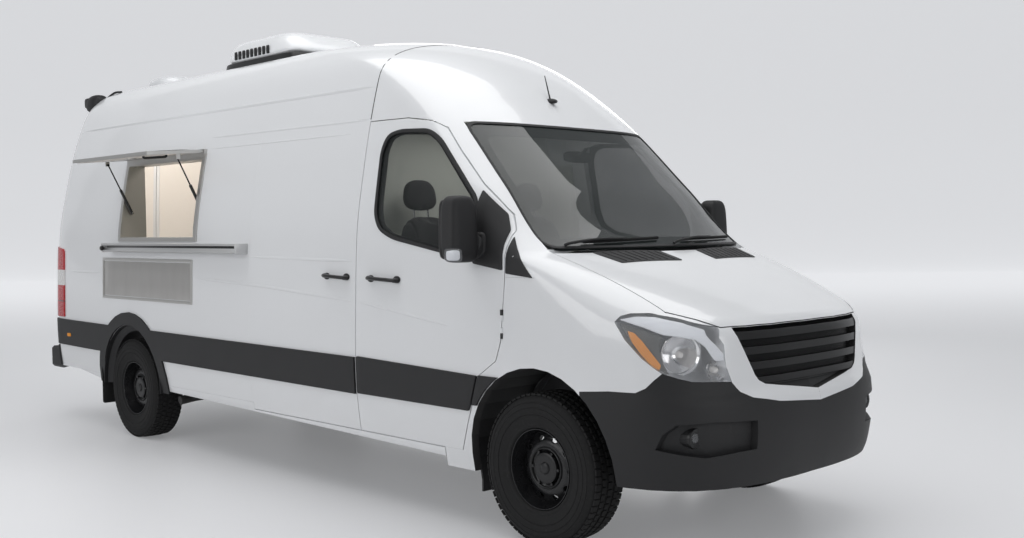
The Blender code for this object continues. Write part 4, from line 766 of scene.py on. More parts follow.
def bowed(points, steps=6):
    """A smooth path through a few points."""
    pts = [Vector(p) for p in points]
    pts = [pts[0] * 2 - pts[1], *pts, pts[-1] * 2 - pts[-2]]
    path = []
    for i in range(1, len(pts) - 2):
        a, b, c, d = pts[i - 1:i + 3]
        for k in range(steps):
            t = k / steps
            curve = (2 * a - 5 * b + 4 * c - d) * t * t + (3 * b - a - 3 * c + d) * t**3
            path.append(0.5 * (2 * b + (c - a) * t + curve))
    return path + [pts[-2]]


# %% Turned pieces and rounded blocks
def turned_mesh(profile, steps, centre, axis=(0, 1, 0), closed=False):
    """A (radius, offset) profile turned about an axis through a centre, offsets measured along the axis."""
    axis, centre = Vector(axis).normalized(), Vector(centre)
    start = axis.orthogonal().normalized()
    other = axis.cross(start)
    bm = bmesh.new()
    rings = []
    for k in range(steps):
        angle = math.tau * k / steps
        ray = start * math.cos(angle) + other * math.sin(angle)
        rings.append([bm.verts.new(centre + ray * radius + axis * offset) for radius, offset in profile])
    last = len(profile) if closed else len(profile) - 1
    for ring, following in zip(rings, rings[1:] + rings[:1]):
        for i in range(last):
            j = (i + 1) % len(profile)
            bm.faces.new((ring[i], ring[j], following[j], following[i]))
    bmesh.ops.remove_doubles(bm, verts=bm.verts, dist=WELD)
    bmesh.ops.holes_fill(bm, edges=[e for e in bm.edges if e.is_boundary])
    return bm


def turned(name, profile, steps, centre, look, axis=(0, 1, 0), closed=False, body="van_body", slot=None):
    return piece(name, turned_mesh(profile, steps, centre, axis, closed), look, body=body, slot=slot)


def soft_block(low, high, power=5.0, steps=(14, 28), bend=None):
    """A box with soft corners, between two opposite corners. A higher power keeps its faces flatter."""
    low, high = Vector(low), Vector(high)
    middle, half = (low + high) / 2, (high - low) / 2

    def signed(value):
        return math.copysign(abs(value) ** (2 / power), value)

    bm = bmesh.new()
    rings = []
    for i in range(1, steps[0]):
        latitude = math.pi * (i / steps[0] - 0.5)
        ring = []
        for k in range(steps[1]):
            longitude = math.tau * (k + 0.5) / steps[1]
            flat = signed(math.cos(latitude))
            ray = flat * signed(math.cos(longitude)), flat * signed(math.sin(longitude)), signed(math.sin(latitude))
            place = middle + Vector(a * b for a, b in zip(Vector(ray), half))
            ring.append(bm.verts.new(bend(place) if bend else place))
        rings.append(ring)
    ring_faces(bm, rings)
    return bm


def block(name, low, high, look, power=5.0, steps=(14, 28), bend=None, body="van_body", slot=None):
    return piece(name, soft_block(low, high, power, steps, bend), look, body=body, slot=slot)


print("tubes, turned pieces and blocks ready")

# %% [markdown]
# ## Bands, seams and trims along the sides
# The black band along the flank carries on over the front door, with a small gap at each shut line.

# %% Door bands and other trims
BAND_FOOT, BAND_TOP = 0.625, 0.842
band = [(-1.435, BAND_FOOT), (-1.435, BAND_TOP), (-0.405, 0.815), (-0.458, 0.66), (-0.475, BAND_FOOT)]
for side in SIDES:
    skin_plate(f"door_band_{side}", rounded(band, 0.012), 0.0005, 0.013, on_flank(side), PLASTIC, bevel=0.005,
               body=f"front_door_{side}")
    smooth_skin(f"side_moulding_{side}", PLASTIC, reach=0.018)
print("bands and mouldings laid")

# %% [markdown]
# ## Glass, with its black borders
# Glass on a van is glued in, and a black ceramic border hides the glue. The panes are thin plates laid a few
# millimetres under the skin, as in the frame, and each border is a thin black plate around them.

# %% Windscreen
WINDSCREEN = [(-0.829, 1.465), (0.829, 1.465), (0.7495, 2.152), (-0.7495, 2.152)]
BORDER = [(-0.775, 1.525), (0.775, 1.525), (0.702, 2.085), (-0.702, 2.085)]
PANE, BEHIND = (-0.0095, -0.0045), (-0.0125, -0.0105)
pane = skin_plate("windscreen_glass", rounded(WINDSCREEN, 0.06), *PANE, on_nose, SCREEN, bevel=0.0, grid=0.035)
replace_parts(pane, "windscreen")
skin_plate("windscreen_border", rounded(WINDSCREEN, 0.06), *BEHIND, on_nose, GLOSS_PLASTIC, [rounded(BORDER, 0.07)],
           0.0, 0.035)
seal = [(-0.834, 1.468), (0.834, 1.468), (0.7565, 2.159), (-0.7565, 2.159)]
inner = [(-0.822, 1.479), (0.822, 1.479), (0.743, 2.146), (-0.743, 2.146)]
skin_plate("windscreen_seal", rounded(seal, 0.06), PANE[1], 0.0012, on_nose, PLASTIC, [rounded(inner, 0.055)],
           0.0008, 0.035)
print("windscreen laid")

# %% Door windows, mirror sails and the trims at the foot of the windscreen pillars
FRONT_WINDOW = [
    (-1.29, 1.66), (-1.30, 2.02), (-1.26, 2.11), (-1.15, 2.13), (-0.90, 2.115), (-0.80, 2.06),
    (-0.475, 1.745), (-0.45, 1.70), (-0.45, 1.405), (-0.60, 1.435), (-1.12, 1.525), (-1.24, 1.575),
]
CLEAR_GLASS = [
    (-1.235, 1.69), (-1.245, 2.01), (-1.215, 2.085), (-1.14, 2.108), (-0.905, 2.093), (-0.815, 2.04),
    (-0.505, 1.738), (-0.478, 1.69), (-0.478, 1.437), (-0.60, 1.458), (-1.105, 1.547), (-1.205, 1.60),
]
SAIL = [(-0.446, 1.772), (-0.285, 1.643), (-0.232, 1.56), (-0.224, 1.36), (-0.446, 1.392)]
PILLAR_TRIM = [(-0.202, 1.53), (-0.202, 1.345), (-0.012, 1.326), (-0.155, 1.468)]


def slimmed(outline, by):
    """An outline with its points drawn towards its middle by about a distance."""
    middle = Vector((sum(p[0] for p in outline), sum(p[1] for p in outline))) / len(outline)
    return [tuple(Vector(p) - (Vector(p) - middle).normalized() * by) for p in outline]


PANE_EDGE = slimmed(FRONT_WINDOW, 0.002)
SEAL_RIM, SEAL_HOLE = rounded(slimmed(FRONT_WINDOW, -0.010), 0.07), rounded(slimmed(FRONT_WINDOW, 0.014), 0.06)
for side in SIDES:
    door, flank = f"front_door_{side}", on_flank(side)
    pane = skin_plate(f"door_pane_{side}", PANE_EDGE, *PANE, flank, GLASS, (), 0.0, 0.06, door)
    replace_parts(pane, f"door_glass_{side}")
    skin_plate(f"door_pane_border_{side}", PANE_EDGE, *BEHIND, flank, GLOSS_PLASTIC, [rounded(CLEAR_GLASS, 0.03)],
               0.0, 0.06, door)
    skin_plate(f"door_pane_seal_{side}", SEAL_RIM, PANE[1], 0.0035, flank, PLASTIC, [SEAL_HOLE], 0.0015, 0.06, door)
    skin_plate(f"mirror_sail_{side}", rounded(SAIL, 0.012), 0.0003, 0.006, flank, PLASTIC, (), 0.002, 0.04, door)
    skin_plate(f"pillar_trim_{side}", rounded(PILLAR_TRIM, 0.008), 0.0003, 0.004, flank, PLASTIC, grid=0.03)
print("door windows laid")

# %% [markdown]
# ## Headlamps
# A lamp is a clear cover over a bright housing, with bowls in it that throw the light forward. The cover is
# the smoothed skin of the frame's lamp, and its hidden faces become the housing. Bowls, bulbs, the light bar and
# the amber reflector are turned or swept pieces inside it.

# %% Headlamps
HOUSING = metal_look("lamp_housing", "clear_lamp", (0.70, 0.71, 0.73), 0.30, (1.0, 1.0, 1.0), 0.1)
LIGHT_BAR = lining_look("milky_light_bar", "clear_lamp", (0.86, 0.88, 0.92), (0.74, 0.76, 0.80))
BLADE = plastic_look("grey_lamp_blade", "clear_lamp", (0.085, 0.085, 0.080), 0.35, 200.0, 0.0001, 0.1)
AMBER = lining_look("amber_reflector", "clear_lamp", (0.86, 0.33, 0.02), (0.62, 0.16, 0.01))
BULB = lining_look("frosted_bulb", "clear_lamp", (0.82, 0.80, 0.77), (0.66, 0.62, 0.60))
BOWLS = (((0.728, 0.772, 0.985), (0.81, 0.55, 0.0), 0.088), ((0.828, 0.640, 0.912), (0.93, 0.36, 0.0), 0.047))
LIGHT_STRIP = [
    (0.498, 1.150), (0.560, 1.166), (0.625, 1.164), (0.724, 1.138), (0.800, 1.104), (0.845, 1.030), (0.878, 0.958),
    (0.849, 0.958), (0.822, 1.024), (0.794, 1.058), (0.745, 1.074), (0.690, 1.084), (0.611, 1.115), (0.520, 1.144),
]
LAMP_BLADE = [
    (0.500, 1.138), (0.611, 1.106), (0.690, 1.076), (0.686, 1.050), (0.686, 1.010), (0.702, 0.950), (0.735, 0.885),
    (0.700, 0.904), (0.660, 0.935), (0.614, 0.988), (0.560, 1.055),
]
AMBER_STRIP = [
    (0.545, 1.100), (0.578, 1.090), (0.614, 1.054), (0.656, 0.998), (0.694, 0.944), (0.690, 0.922), (0.660, 0.940),
    (0.614, 0.990), (0.572, 1.046),
]


def bowl_profile(radius):
    """A parabola with a rolled rim."""
    depth = radius * 0.8
    inside = [(radius * k / 8, depth * (k / 8) ** 2 - depth) for k in range(9)]
    rim = [(radius * 1.06, 0.003), (radius * 1.10, -0.002), (radius * 1.05, -0.012)]
    return inside + rim + [(radius * 0.3, -depth - 0.006), (0.0, -depth - 0.008)]


BULB_FORM = [(0.0, 0.012), (0.010, 0.008), (0.015, -0.002), (0.015, -0.03), (0.0, -0.03)]
LAMP_PLATES = (
    ("strip", LIGHT_STRIP, -0.014, -0.008, LIGHT_BAR), ("blade", LAMP_BLADE, -0.022, -0.017, BLADE),
    ("amber", AMBER_STRIP, -0.015, -0.009, AMBER),
)
for side, sign in SIDES.items():
    smooth_skin(f"headlamp_{side}", LENS, inner_look=HOUSING)
    for i, ((x, y, z), (ahead, out, up), radius) in enumerate(BOWLS):
        place, aim = (x, sign * y, z), (ahead, sign * out, up)
        turned(f"lamp_bowl_{side}_{i}", bowl_profile(radius), 40, place, CHROME, aim)
        turned(f"lamp_bulb_{side}_{i}", BULB_FORM, 20, place, BULB, aim)
    for name, form, low, high, look in LAMP_PLATES:
        skin_plate(f"lamp_{name}_{side}", rounded(form, 0.006), low, high, on_flank(side), look, grid=0.03)
print("headlamps built")

# %% [markdown]
# ## Grille, bumper and fog lamps
# The grille's ribs and the bumper come from the frame, smoothed. Behind the ribs lies a mesh of small hexagons.
# Such a mesh repeats hundreds of times, so Geometry Nodes copy one small ring over a grid of points.

# %% A node tree that copies a small pattern over a grid
def grown_by_nodes(tree, **values):
    """The mesh that a tree grows, as a bmesh, after giving its named inputs their values."""
    holder = linked("grower", mesh_of("grower", bmesh.new()))
    grower = holder.modifiers.new("grow", "NODES")
    grower.node_group = tree
    for item in tree.interface.items_tree:
        if getattr(item, "in_out", "") == "INPUT" and item.name in values:
            grower[item.identifier] = values[item.name]
    bpy.context.view_layer.update()
    mesh = bpy.data.meshes.new_from_object(holder.evaluated_get(bpy.context.evaluated_depsgraph_get()))
    bm = bmesh.new()
    bm.from_mesh(mesh)
    bpy.data.meshes.remove(mesh)
    for spent in (holder, values["Pattern"]):
        bpy.data.objects.remove(spent)
    return bm


class Tree:
    """A Geometry Nodes tree with named inputs that ends in Realize Instances and Set Material."""

    def __init__(self, name, **inputs):
        self.tree = bpy.data.node_groups.new(name, "GeometryNodeTree")
        for label, kind in {**inputs, "Pattern": "Object", "Finish": "Material"}.items():
            self.tree.interface.new_socket(label, in_out="INPUT", socket_type="NodeSocket" + kind)
        self.tree.interface.new_socket("Mesh", in_out="OUTPUT", socket_type="NodeSocketGeometry")
        self.inputs = self.tree.nodes.new("NodeGroupInput").outputs

    def node(self, kind, values, **settings):
        made = self.tree.nodes.new(kind)
        for name, value in settings.items():
            setattr(made, name, value)
        for name, value in values.items():
            if isinstance(value, bpy.types.NodeSocket):
                self.tree.links.new(value, made.inputs[name])
            else:
                made.inputs[name].default_value = value
        return made.outputs

    def calc(self, operation, *values):
        return self.node("ShaderNodeMath", dict(enumerate(values)), operation=operation)[0]

    def copies(self, points, **settings):
        """The pattern on every point."""
        pattern = self.node("GeometryNodeObjectInfo", {"Object": self.inputs["Pattern"]})["Geometry"]
        values = {"Points": points, "Instance": pattern, **settings}
        return self.node("GeometryNodeInstanceOnPoints", values)[0]

    def end(self, instances):
        solid = self.node("GeometryNodeRealizeInstances", {"Geometry": instances})[0]
        dressed = self.node("GeometryNodeSetMaterial", {"Geometry": solid, "Material": self.inputs["Finish"]})[0]
        self.tree.links.new(dressed, self.tree.nodes.new("NodeGroupOutput").inputs[0])
        return self.tree


def grid_tree():
    """Copies of a pattern on a grid whose every second column is moved half a step."""
    made = Tree("pattern_grid", Width="Float", Height="Float", Columns="Int", Rows="Int")
    ins = made.inputs
    sizes = {"Size X": ins["Width"], "Size Y": ins["Height"], "Vertices X": ins["Columns"], "Vertices Y": ins["Rows"]}
    grid = made.node("GeometryNodeMeshGrid", sizes)[0]
    index = made.node("GeometryNodeInputIndex", {})[0]
    rise = made.calc("DIVIDE", ins["Height"], made.calc("SUBTRACT", ins["Rows"], 1.0))
    column = made.calc("FLOOR", made.calc("DIVIDE", index, ins["Rows"]))
    lift = made.calc("MULTIPLY", made.calc("MODULO", column, 2.0), made.calc("MULTIPLY", rise, 0.5))
    offset = made.node("ShaderNodeCombineXYZ", {"Y": lift})[0]
    return made.end(made.copies(made.node("GeometryNodeSetPosition", {"Geometry": grid, "Offset": offset})[0]))


GRID_TREE = grid_tree()
print("grid tree has", len(GRID_TREE.nodes), "nodes")


# %% Hexagon mesh behind the ribs
def hexagon_ring(outer, inner, thickness):
    """A six-sided ring lying flat, closed on all sides."""
    bm = bmesh.new()
    corners = ((outer, 0.0), (inner, 0.0), (inner, thickness), (outer, thickness))
    loops = [[bm.verts.new((*point, height)) for point in circle(radius, 6)] for radius, height in corners]
    ring_faces(bm, loops, closed=True)
    bmesh.ops.recalc_face_normals(bm, faces=bm.faces)
    return linked("pattern", mesh_of("pattern", bm))


CELL = 0.0085
MESH_WIDTH, MESH_HEIGHT, MESH_MIDDLE, MESH_DEPTH = 1.04, 0.285, 0.945, 0.034
columns, rows = int(MESH_WIDTH / (CELL * 0.87)), int(MESH_HEIGHT / CELL)
mesh = grown_by_nodes(GRID_TREE, Width=MESH_WIDTH, Height=MESH_HEIGHT, Columns=columns, Rows=rows,
                      Pattern=hexagon_ring(CELL * 0.60, CELL * 0.47, 0.003), Finish=GLOSS_PLASTIC.material)
GRILLE_SIDE = [(0.835, 0.37), (0.855, 0.41), (0.88, 0.43), (1.07, 0.515), (1.10, 0.52)]


def in_grille(point):
    """Whether a point of the flat mesh lies within the grille's opening."""
    height = point.y + MESH_MIDDLE
    for (low, near), (high, far) in zip(GRILLE_SIDE, GRILLE_SIDE[1:]):
        if low <= height <= high:
            return abs(point.x) <= near + (far - near) * (height - low) / (high - low)
    return False


bmesh.ops.delete(mesh, geom=[f for f in mesh.faces if not in_grille(f.calc_center_median())], context="FACES")
bmesh.ops.delete(mesh, geom=[v for v in mesh.verts if not v.link_faces], context="VERTS")
for vert in mesh.verts:
    vert.co = on_nose(vert.co.x, vert.co.y + MESH_MIDDLE, vert.co.z - MESH_DEPTH)
piece("grille_mesh", mesh, GLOSS_PLASTIC)
smooth_skin("grille", GLOSS_PLASTIC, reach=0.006)
print("grille mesh:", columns * rows, "cells")

# %% Bumper and fog lamps
smooth_skin("front_bumper", PLASTIC)
FOG_RING = [(0.030, 0.004), (0.044, 0.004), (0.047, -0.002), (0.047, -0.012), (0.034, -0.012), (0.030, -0.006)]
FOG_LENS = [(0.0, 0.006), (0.014, 0.005), (0.026, 0.002), (0.032, -0.004), (0.0, -0.004)]
FORWARD = (1, 0, 0)
for side, sign in SIDES.items():
    turned(f"fog_ring_{side}", FOG_RING, 40, (0.812, sign * 0.775, 0.612), GLOSS_PLASTIC, FORWARD, closed=True)
    turned(f"fog_lens_{side}", FOG_LENS, 40, (0.812, sign * 0.775, 0.612), LENS, FORWARD)
    turned(f"fog_bowl_{side}", bowl_profile(0.026), 32, (0.808, sign * 0.775, 0.612), CHROME, FORWARD)
print("bumper and fog lamps built")

# %% [markdown]
# ## Mirrors and handles
# A mirror is a rounded housing on a short arm, with two glass plates on its rear face and an indicator in its outer
# lower corner. The handles are bars whose two feet stand on the door skin.

# %% Mirrors
MIRROR_GLASS = metal_look("mirror_glass", "clear_lamp", (0.75, 0.77, 0.79), 0.03, (1.0, 1.0, 1.0), 0.02)
HEAD_LOW, HEAD_HIGH = Vector((-0.468, 0.992, 1.40)), Vector((-0.352, 1.19, 1.74))


def sided(low, high, sign):
    """The corners of a box given on the left side, on either side of the van."""
    ys = sorted((low[1] * sign, high[1] * sign))
    return (low[0], ys[0], low[2]), (high[0], ys[1], high[2])


MIRROR_BLOCKS = (
    ("head", HEAD_LOW, HEAD_HIGH, PLASTIC, 4.5, (20, 36), True),
    ("bezel", (-0.476, 1.000, 1.415), (-0.452, 1.182, 1.722), GLOSS_PLASTIC, 6.0, (16, 32), True),
    ("glass", (-0.4790, 1.010, 1.480), (-0.4700, 1.172, 1.712), MIRROR_GLASS, 9.0, (14, 32), True),
    ("wide_glass", (-0.4790, 1.012, 1.425), (-0.4700, 1.172, 1.470), MIRROR_GLASS, 9.0, (14, 32), True),
    ("indicator", (-0.430, 1.130, 1.404), (-0.340, 1.1935, 1.475), LENS, 4.0, (12, 24), False),
    ("indicator_bulb", (-0.418, 1.138, 1.412), (-0.350, 1.188, 1.466), LIGHT_BAR, 4.0, (10, 20), False),
    ("foot", (-0.450, 0.925, 1.425), (-0.345, 0.990, 1.555), PLASTIC, 3.2, (14, 28), False),
)
MIRROR_ARM = ((0.945, 1.470), (0.975, 1.480), (1.005, 1.492), (1.04, 1.502))
ARM_RADII = [0.050] * 6 + [0.045] * 6 + [0.040] * 7
for side, sign in SIDES.items():
    door = f"front_door_{side}"

    def raked(place):
        """Narrows the housing towards its top and leans it back."""
        rise = (place.z - HEAD_LOW.z) / (HEAD_HIGH.z - HEAD_LOW.z)
        middle = (HEAD_LOW.y + HEAD_HIGH.y) / 2 * sign
        return Vector((place.x - 0.012 * rise, middle + (place.y - middle) * (1 - 0.16 * rise), place.z))

    for name, low, high, look, power, steps, rakes in MIRROR_BLOCKS:
        bend = raked if rakes else None
        made = block(f"mirror_{name}_{side}", *sided(low, high, sign), look, power, steps, bend, door)
        if name == "head":
            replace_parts(made, f"mirror_{side}")
    arm = bowed([(-0.40, sign * y, z) for y, z in MIRROR_ARM])
    tube(f"mirror_arm_{side}", arm, ARM_RADII, PLASTIC, 20, flat=1.25, body=door)
print("mirrors built")


# %% Handles
HANDLE = [(0.0, 0.001), (0.05, 0.018), (0.16, 0.030), (0.5, 0.035), (0.84, 0.030), (0.95, 0.018), (1.0, 0.001)]


def handle(name, side, start, end, height, body):
    """A bar handle between two places along the flank, on two oval feet."""
    flank = on_flank(side)
    path = bowed([flank(start + (end - start) * share, height - 0.010 * share, out) for share, out in HANDLE], 4)
    radii = [0.019] * 6 + [0.0155] * (len(path) - 12) + [0.019] * 6
    tube(name, path, radii, GLOSS_PLASTIC, 16, flat=0.72, body=body)
    for i, x in enumerate((start + 0.012, end - 0.012)):
        foot = circle(0.020, 24, (x, height - 0.004), 1.5)
        skin_plate(f"{name}_foot_{i}", foot, 0.0004, 0.006, flank, PLASTIC, (), 0.002, 0.08, body)


for side in SIDES:
    handle(f"door_handle_{side}", side, -1.315, -1.055, 1.298, f"front_door_{side}")
handle("sliding_door_handle", "right", -1.745, -1.525, 1.303, "van_body")
ARCH_RADIUS, ARCH_HEIGHT = 0.487, 0.401
arc = [math.radians(a) for a in range(32, 60, 3)]
wedge = [(-ARCH_RADIUS * math.cos(a), ARCH_HEIGHT + ARCH_RADIUS * math.sin(a)) for a in arc]
wedge += [(-0.394, 0.818), (-0.449, 0.658)]
for side in SIDES:
    skin_plate(f"wing_band_{side}", wedge, 0.0005, 0.012, on_flank(side), PLASTIC, (), 0.003, 0.03)
print("handles and wing bands laid")

# %% [markdown]
# ## Wheels
# A tyre is a turned carcass with moulded rings on its side walls. Its tread is five rows of rubber blocks round
# the crown: one block is drawn, and a Geometry Nodes tree copies it round a circle. The same tree sets the wheel
# nuts. The pressed steel disc is a flat plate with vent holes, bent to the dish's section.


# %% A node tree that copies a small pattern round a circle
def ring_tree():
    made = Tree("pattern_ring", Copies="Int", Radius="Float", Start="Float")
    ins = made.inputs
    ring = made.node("GeometryNodeMeshCircle", {"Vertices": ins["Copies"], "Radius": ins["Radius"]})[0]
    share = made.calc("DIVIDE", made.node("GeometryNodeInputIndex", {})[0], ins["Copies"])
    turn = made.node("ShaderNodeCombineXYZ", {"Z": made.calc("MULTIPLY", share, math.tau)})[0]
    copies = made.copies(ring, Rotation=made.node("FunctionNodeEulerToRotation", {"Euler": turn})[0])
    spin = made.node("ShaderNodeCombineXYZ", {"Z": ins["Start"]})[0]
    return made.end(made.node("GeometryNodeTransform", {"Geometry": copies, "Rotation": spin})[0])


RING_TREE = ring_tree()


def ring_of(pattern, copies, radius, look, start=0.0):
    """A bmesh of copies round the Y axis. The pattern points along X, outwards, and its Z becomes the axis."""
    pattern = linked("pattern", mesh_of("pattern", pattern))
    bm = grown_by_nodes(RING_TREE, Copies=copies, Radius=radius, Start=start, Pattern=pattern, Finish=look.material)
    bmesh.ops.rotate(bm, verts=bm.verts, cent=(0, 0, 0), matrix=Matrix.Rotation(math.radians(-90), 3, "X"))
    return bm


def small_block(low, high, bevel):
    bm = bmesh.new()
    bmesh.ops.create_cube(bm, size=1)
    bmesh.ops.scale(bm, vec=[b - a for a, b in zip(low, high)], verts=bm.verts)
    bmesh.ops.translate(bm, vec=[(a + b) / 2 for a, b in zip(low, high)], verts=bm.verts)
    bmesh.ops.bevel(bm, geom=bm.edges[:], offset=bevel, segments=1, affect="EDGES")
    return bm


print("ring tree has", len(RING_TREE.nodes), "nodes")

# %% Tyres
TYRE_RADIUS = 0.381
WHEELS = {
    f"{end}_{side}": Vector((x, sign * 0.855, TYRE_RADIUS))
    for end, x in (("front", 0.0), ("rear", -4.325)) for side, sign in SIDES.items()
}
SIDE_WALL = [
    (0.2025, 0.084), (0.2045, 0.096), (0.2120, 0.1045), (0.2200, 0.1065), (0.2260, 0.1040), (0.2310, 0.1050),
    (0.2500, 0.1105), (0.2700, 0.1140), (0.2720, 0.1120), (0.2760, 0.1120), (0.2780, 0.1150), (0.3020, 0.1172),
    (0.3040, 0.1150), (0.3080, 0.1150), (0.3100, 0.1170), (0.3280, 0.1155), (0.3300, 0.1128), (0.3340, 0.1120),
    (0.3360, 0.1140), (0.3480, 0.1090), (0.3560, 0.1030), (0.3640, 0.0950), (0.3690, 0.0860), (0.3720, 0.0700),
    (0.3735, 0.03),
]
CARCASS = SIDE_WALL + [(radius, -offset) for radius, offset in reversed(SIDE_WALL)]
TREAD_ROWS = (
    (-0.0800, 0.0190, 0.3765), (-0.0450, 0.0130, 0.3800), (0.0, 0.0150, 0.3808), (0.0450, 0.0130, 0.3800),
    (0.0800, 0.0190, 0.3765),
)
BLOCKS, TREAD_BASE, FILLED = 64, 0.366, 0.80


def tread(place, body):
    """Five rows of tread blocks, every second row turned half a block."""
    whole = bmesh.new()
    half_length = math.pi * TYRE_RADIUS / BLOCKS * FILLED
    for i, (offset, half, top) in enumerate(TREAD_ROWS):
        low, high = (0, -half_length, offset - half), (top - TREAD_BASE, half_length, offset + half)
        row = ring_of(small_block(low, high, 0.0015), BLOCKS, TREAD_BASE, RUBBER, math.pi / BLOCKS * (i % 2))
        take_in(whole, row)
    bmesh.ops.translate(whole, verts=whole.verts, vec=WHEELS[place])
    piece(f"tread_{place}", whole, RUBBER, 25.0, body)


for place, centre in WHEELS.items():
    carcass = turned(f"tyre_wall_{place}", CARCASS, 96, centre, RUBBER, closed=True, body=f"wheel_{place}")
    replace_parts(carcass, f"tyre_{place}")
    tread(place, f"wheel_{place}")
print("tyres:", len(TREAD_ROWS) * BLOCKS, "tread blocks each")

# %% Steel wheels
BARREL = [
    (0.2012, 0.0960), (0.1998, 0.0985), (0.1960, 0.0978), (0.1935, 0.0910), (0.1925, 0.0500), (0.1860, 0.0350),
    (0.1860, -0.0300), (0.1925, -0.0500), (0.1935, -0.0910), (0.1960, -0.0965), (0.2012, -0.0960),
]
DISH = [
    (0.0, 0.034), (0.075, 0.034), (0.092, 0.044), (0.112, 0.048), (0.130, 0.045), (0.155, 0.032), (0.176, 0.014),
    (0.192, 0.012),
]
HUB_CAP = [
    (0.0, 0.0685), (0.022, 0.0675), (0.029, 0.0635), (0.031, 0.0585), (0.058, 0.0590), (0.070, 0.0580),
    (0.0765, 0.0555),
    (0.0780, 0.0480), (0.0780, 0.0300), (0.0, 0.0300),
]
COLLAR = [
    (0.094, 0.047), (0.0965, 0.053), (0.100, 0.0545), (0.104, 0.053), (0.107, 0.048), (0.107, 0.040), (0.094, 0.038),
]
VENTS, NUTS = 10, 6


def dish_depth(radius):
    """How far the disc stands out at a radius."""
    for (near, low), (far, high) in zip(DISH, DISH[1:]):
        if radius <= far:
            t = (radius - near) / (far - near)
            return low + (high - low) * t * t * (3 - 2 * t)
    return DISH[-1][1]


holes = [circle(0.0170, 14, circle(0.150, VENTS)[k], 0.72, math.tau * k / VENTS) for k in range(VENTS)]
for place, centre in WHEELS.items():
    body, sign = f"wheel_{place}", math.copysign(1, centre.y)
    axis = (0, sign, 0)
    barrel = turned(f"wheel_barrel_{place}", BARREL, 96, centre, BLACK_STEEL, axis, True, body=body)
    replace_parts(barrel, f"rim_{place}")
    disc = flat_plate(circle(0.1905, 72), -0.005, 0.0, [circle(0.0775, 48), *holes], 0.0012, 0.018)
    for vert in disc.verts:
        u, v, w = vert.co
        vert.co = centre + Vector((u, sign * (dish_depth(math.hypot(u, v)) + w), v))
    piece(f"wheel_disc_{place}", disc, BLACK_STEEL, 35.0, body)
    turned(f"hub_cap_{place}", HUB_CAP, 48, centre, GLOSS_PLASTIC, axis, body=body, slot="black_steel")
    turned(f"hub_collar_{place}", COLLAR, 64, centre, GLOSS_PLASTIC, axis, True, body=body, slot="black_steel")
    nut = bmesh.new()
    bmesh.ops.create_cone(nut, cap_ends=True, segments=6, radius1=0.0085, radius2=0.0075, depth=0.020)
    bmesh.ops.bevel(nut, geom=nut.edges[:], offset=0.0008, segments=1, affect="EDGES")
    nuts = ring_of(nut, NUTS, 0.0865, STAINLESS)
    bmesh.ops.translate(nuts, verts=nuts.verts, vec=centre + Vector((0, sign * 0.048, 0)))
    piece(f"wheel_nuts_{place}", nuts, BLACK_STEEL, 30.0, body)
print("wheels:", VENTS, "vents and", NUTS, "nuts each")

# %% [markdown]
# ## The serving hatch
# Behind the flap the van is a small kitchen: cream wall panels and round downlights. The panels are thin plates
# laid on the inside of the walls. The downlights glow by an emission colour, and one soft lamp under the ceiling
# gives the warm light that falls on the walls. A weaker one does the same for the cab.

# %% Linings and downlights
WALL = 0.05
GLOW = Look("warm_downlight", "clear_lamp")
GLOW.set(Base_Color=(1.0, 0.93, 0.80), Emission_Strength=3.0, Roughness=0.4)
GLOW.set(Emission_Color=GLOW.blend(GLOW.noise(30.0), (1.0, 0.90, 0.74), (1.0, 0.84, 0.64)))
PANEL = (-WALL - 0.0045, -WALL - 0.0008)
for name, corners, radius, view, grid in (
    ("left_wall_panel", (-5.66, 1.50, -1.70, 2.37), 0.02, on_flank("left"), 0.15),
    ("hatch_wall_panel", (-5.25, 2.16, -2.70, 2.37), 0.02, on_flank("right"), 0.15),
    ("ceiling_panel", (-5.25, -0.50, -1.75, 0.50), 0.03, on_top, 0.2),
):
    skin_plate(name, rounded(oblong(*corners), radius), *PANEL, view, CREAM, grid=grid)
for side, sign in SIDES.items():
    leaf = rounded([(sign * 0.03, 1.00), (sign * 0.70, 1.00), (sign * 0.64, 2.28), (sign * 0.03, 2.28)], 0.03)
    skin_plate(f"rear_door_panel_{side}", leaf, *PANEL, on_tail, CREAM, grid=0.12, body=f"rear_door_{side}")
LIGHT_RING = [(0.024, 0.001), (0.026, 0.004), (0.033, 0.004), (0.036, 0.0), (0.036, -0.002), (0.024, -0.002)]
LIGHT_LENS = [(0.0, 0.0035), (0.014, 0.003), (0.0235, 0.001), (0.0235, -0.001), (0.0, -0.001)]


def downlight(name, place, down, body):
    """A round recessed lamp: a stainless ring and a glowing lens, facing along a direction."""
    turned(f"{name}_ring", LIGHT_RING, 36, place, STAINLESS, down, closed=True, body=body)
    turned(f"{name}_lens", LIGHT_LENS, 36, place, GLOW, down, body=body)


for i, x in enumerate((-4.55, -3.35, -2.2)):
    for side, sign in SIDES.items():
        place = on_top(x, sign * 0.36, PANEL[0] - 0.002)
        downlight(f"ceiling_light_{side}_{i}", place, -skin_normal(place), "van_body")
kitchen = area_lamp("kitchen_glow", (-4.3, 0.0, 2.66), None, (2.6, 0.8), 27.0, (1.0, 0.94, 0.87))
cab = area_lamp("cab_fill", (-1.05, 0.0, 2.22), None, (0.5, 1.2), 6.5)
kitchen.visible_camera = cab.visible_camera = False
print("kitchen lined and lit")

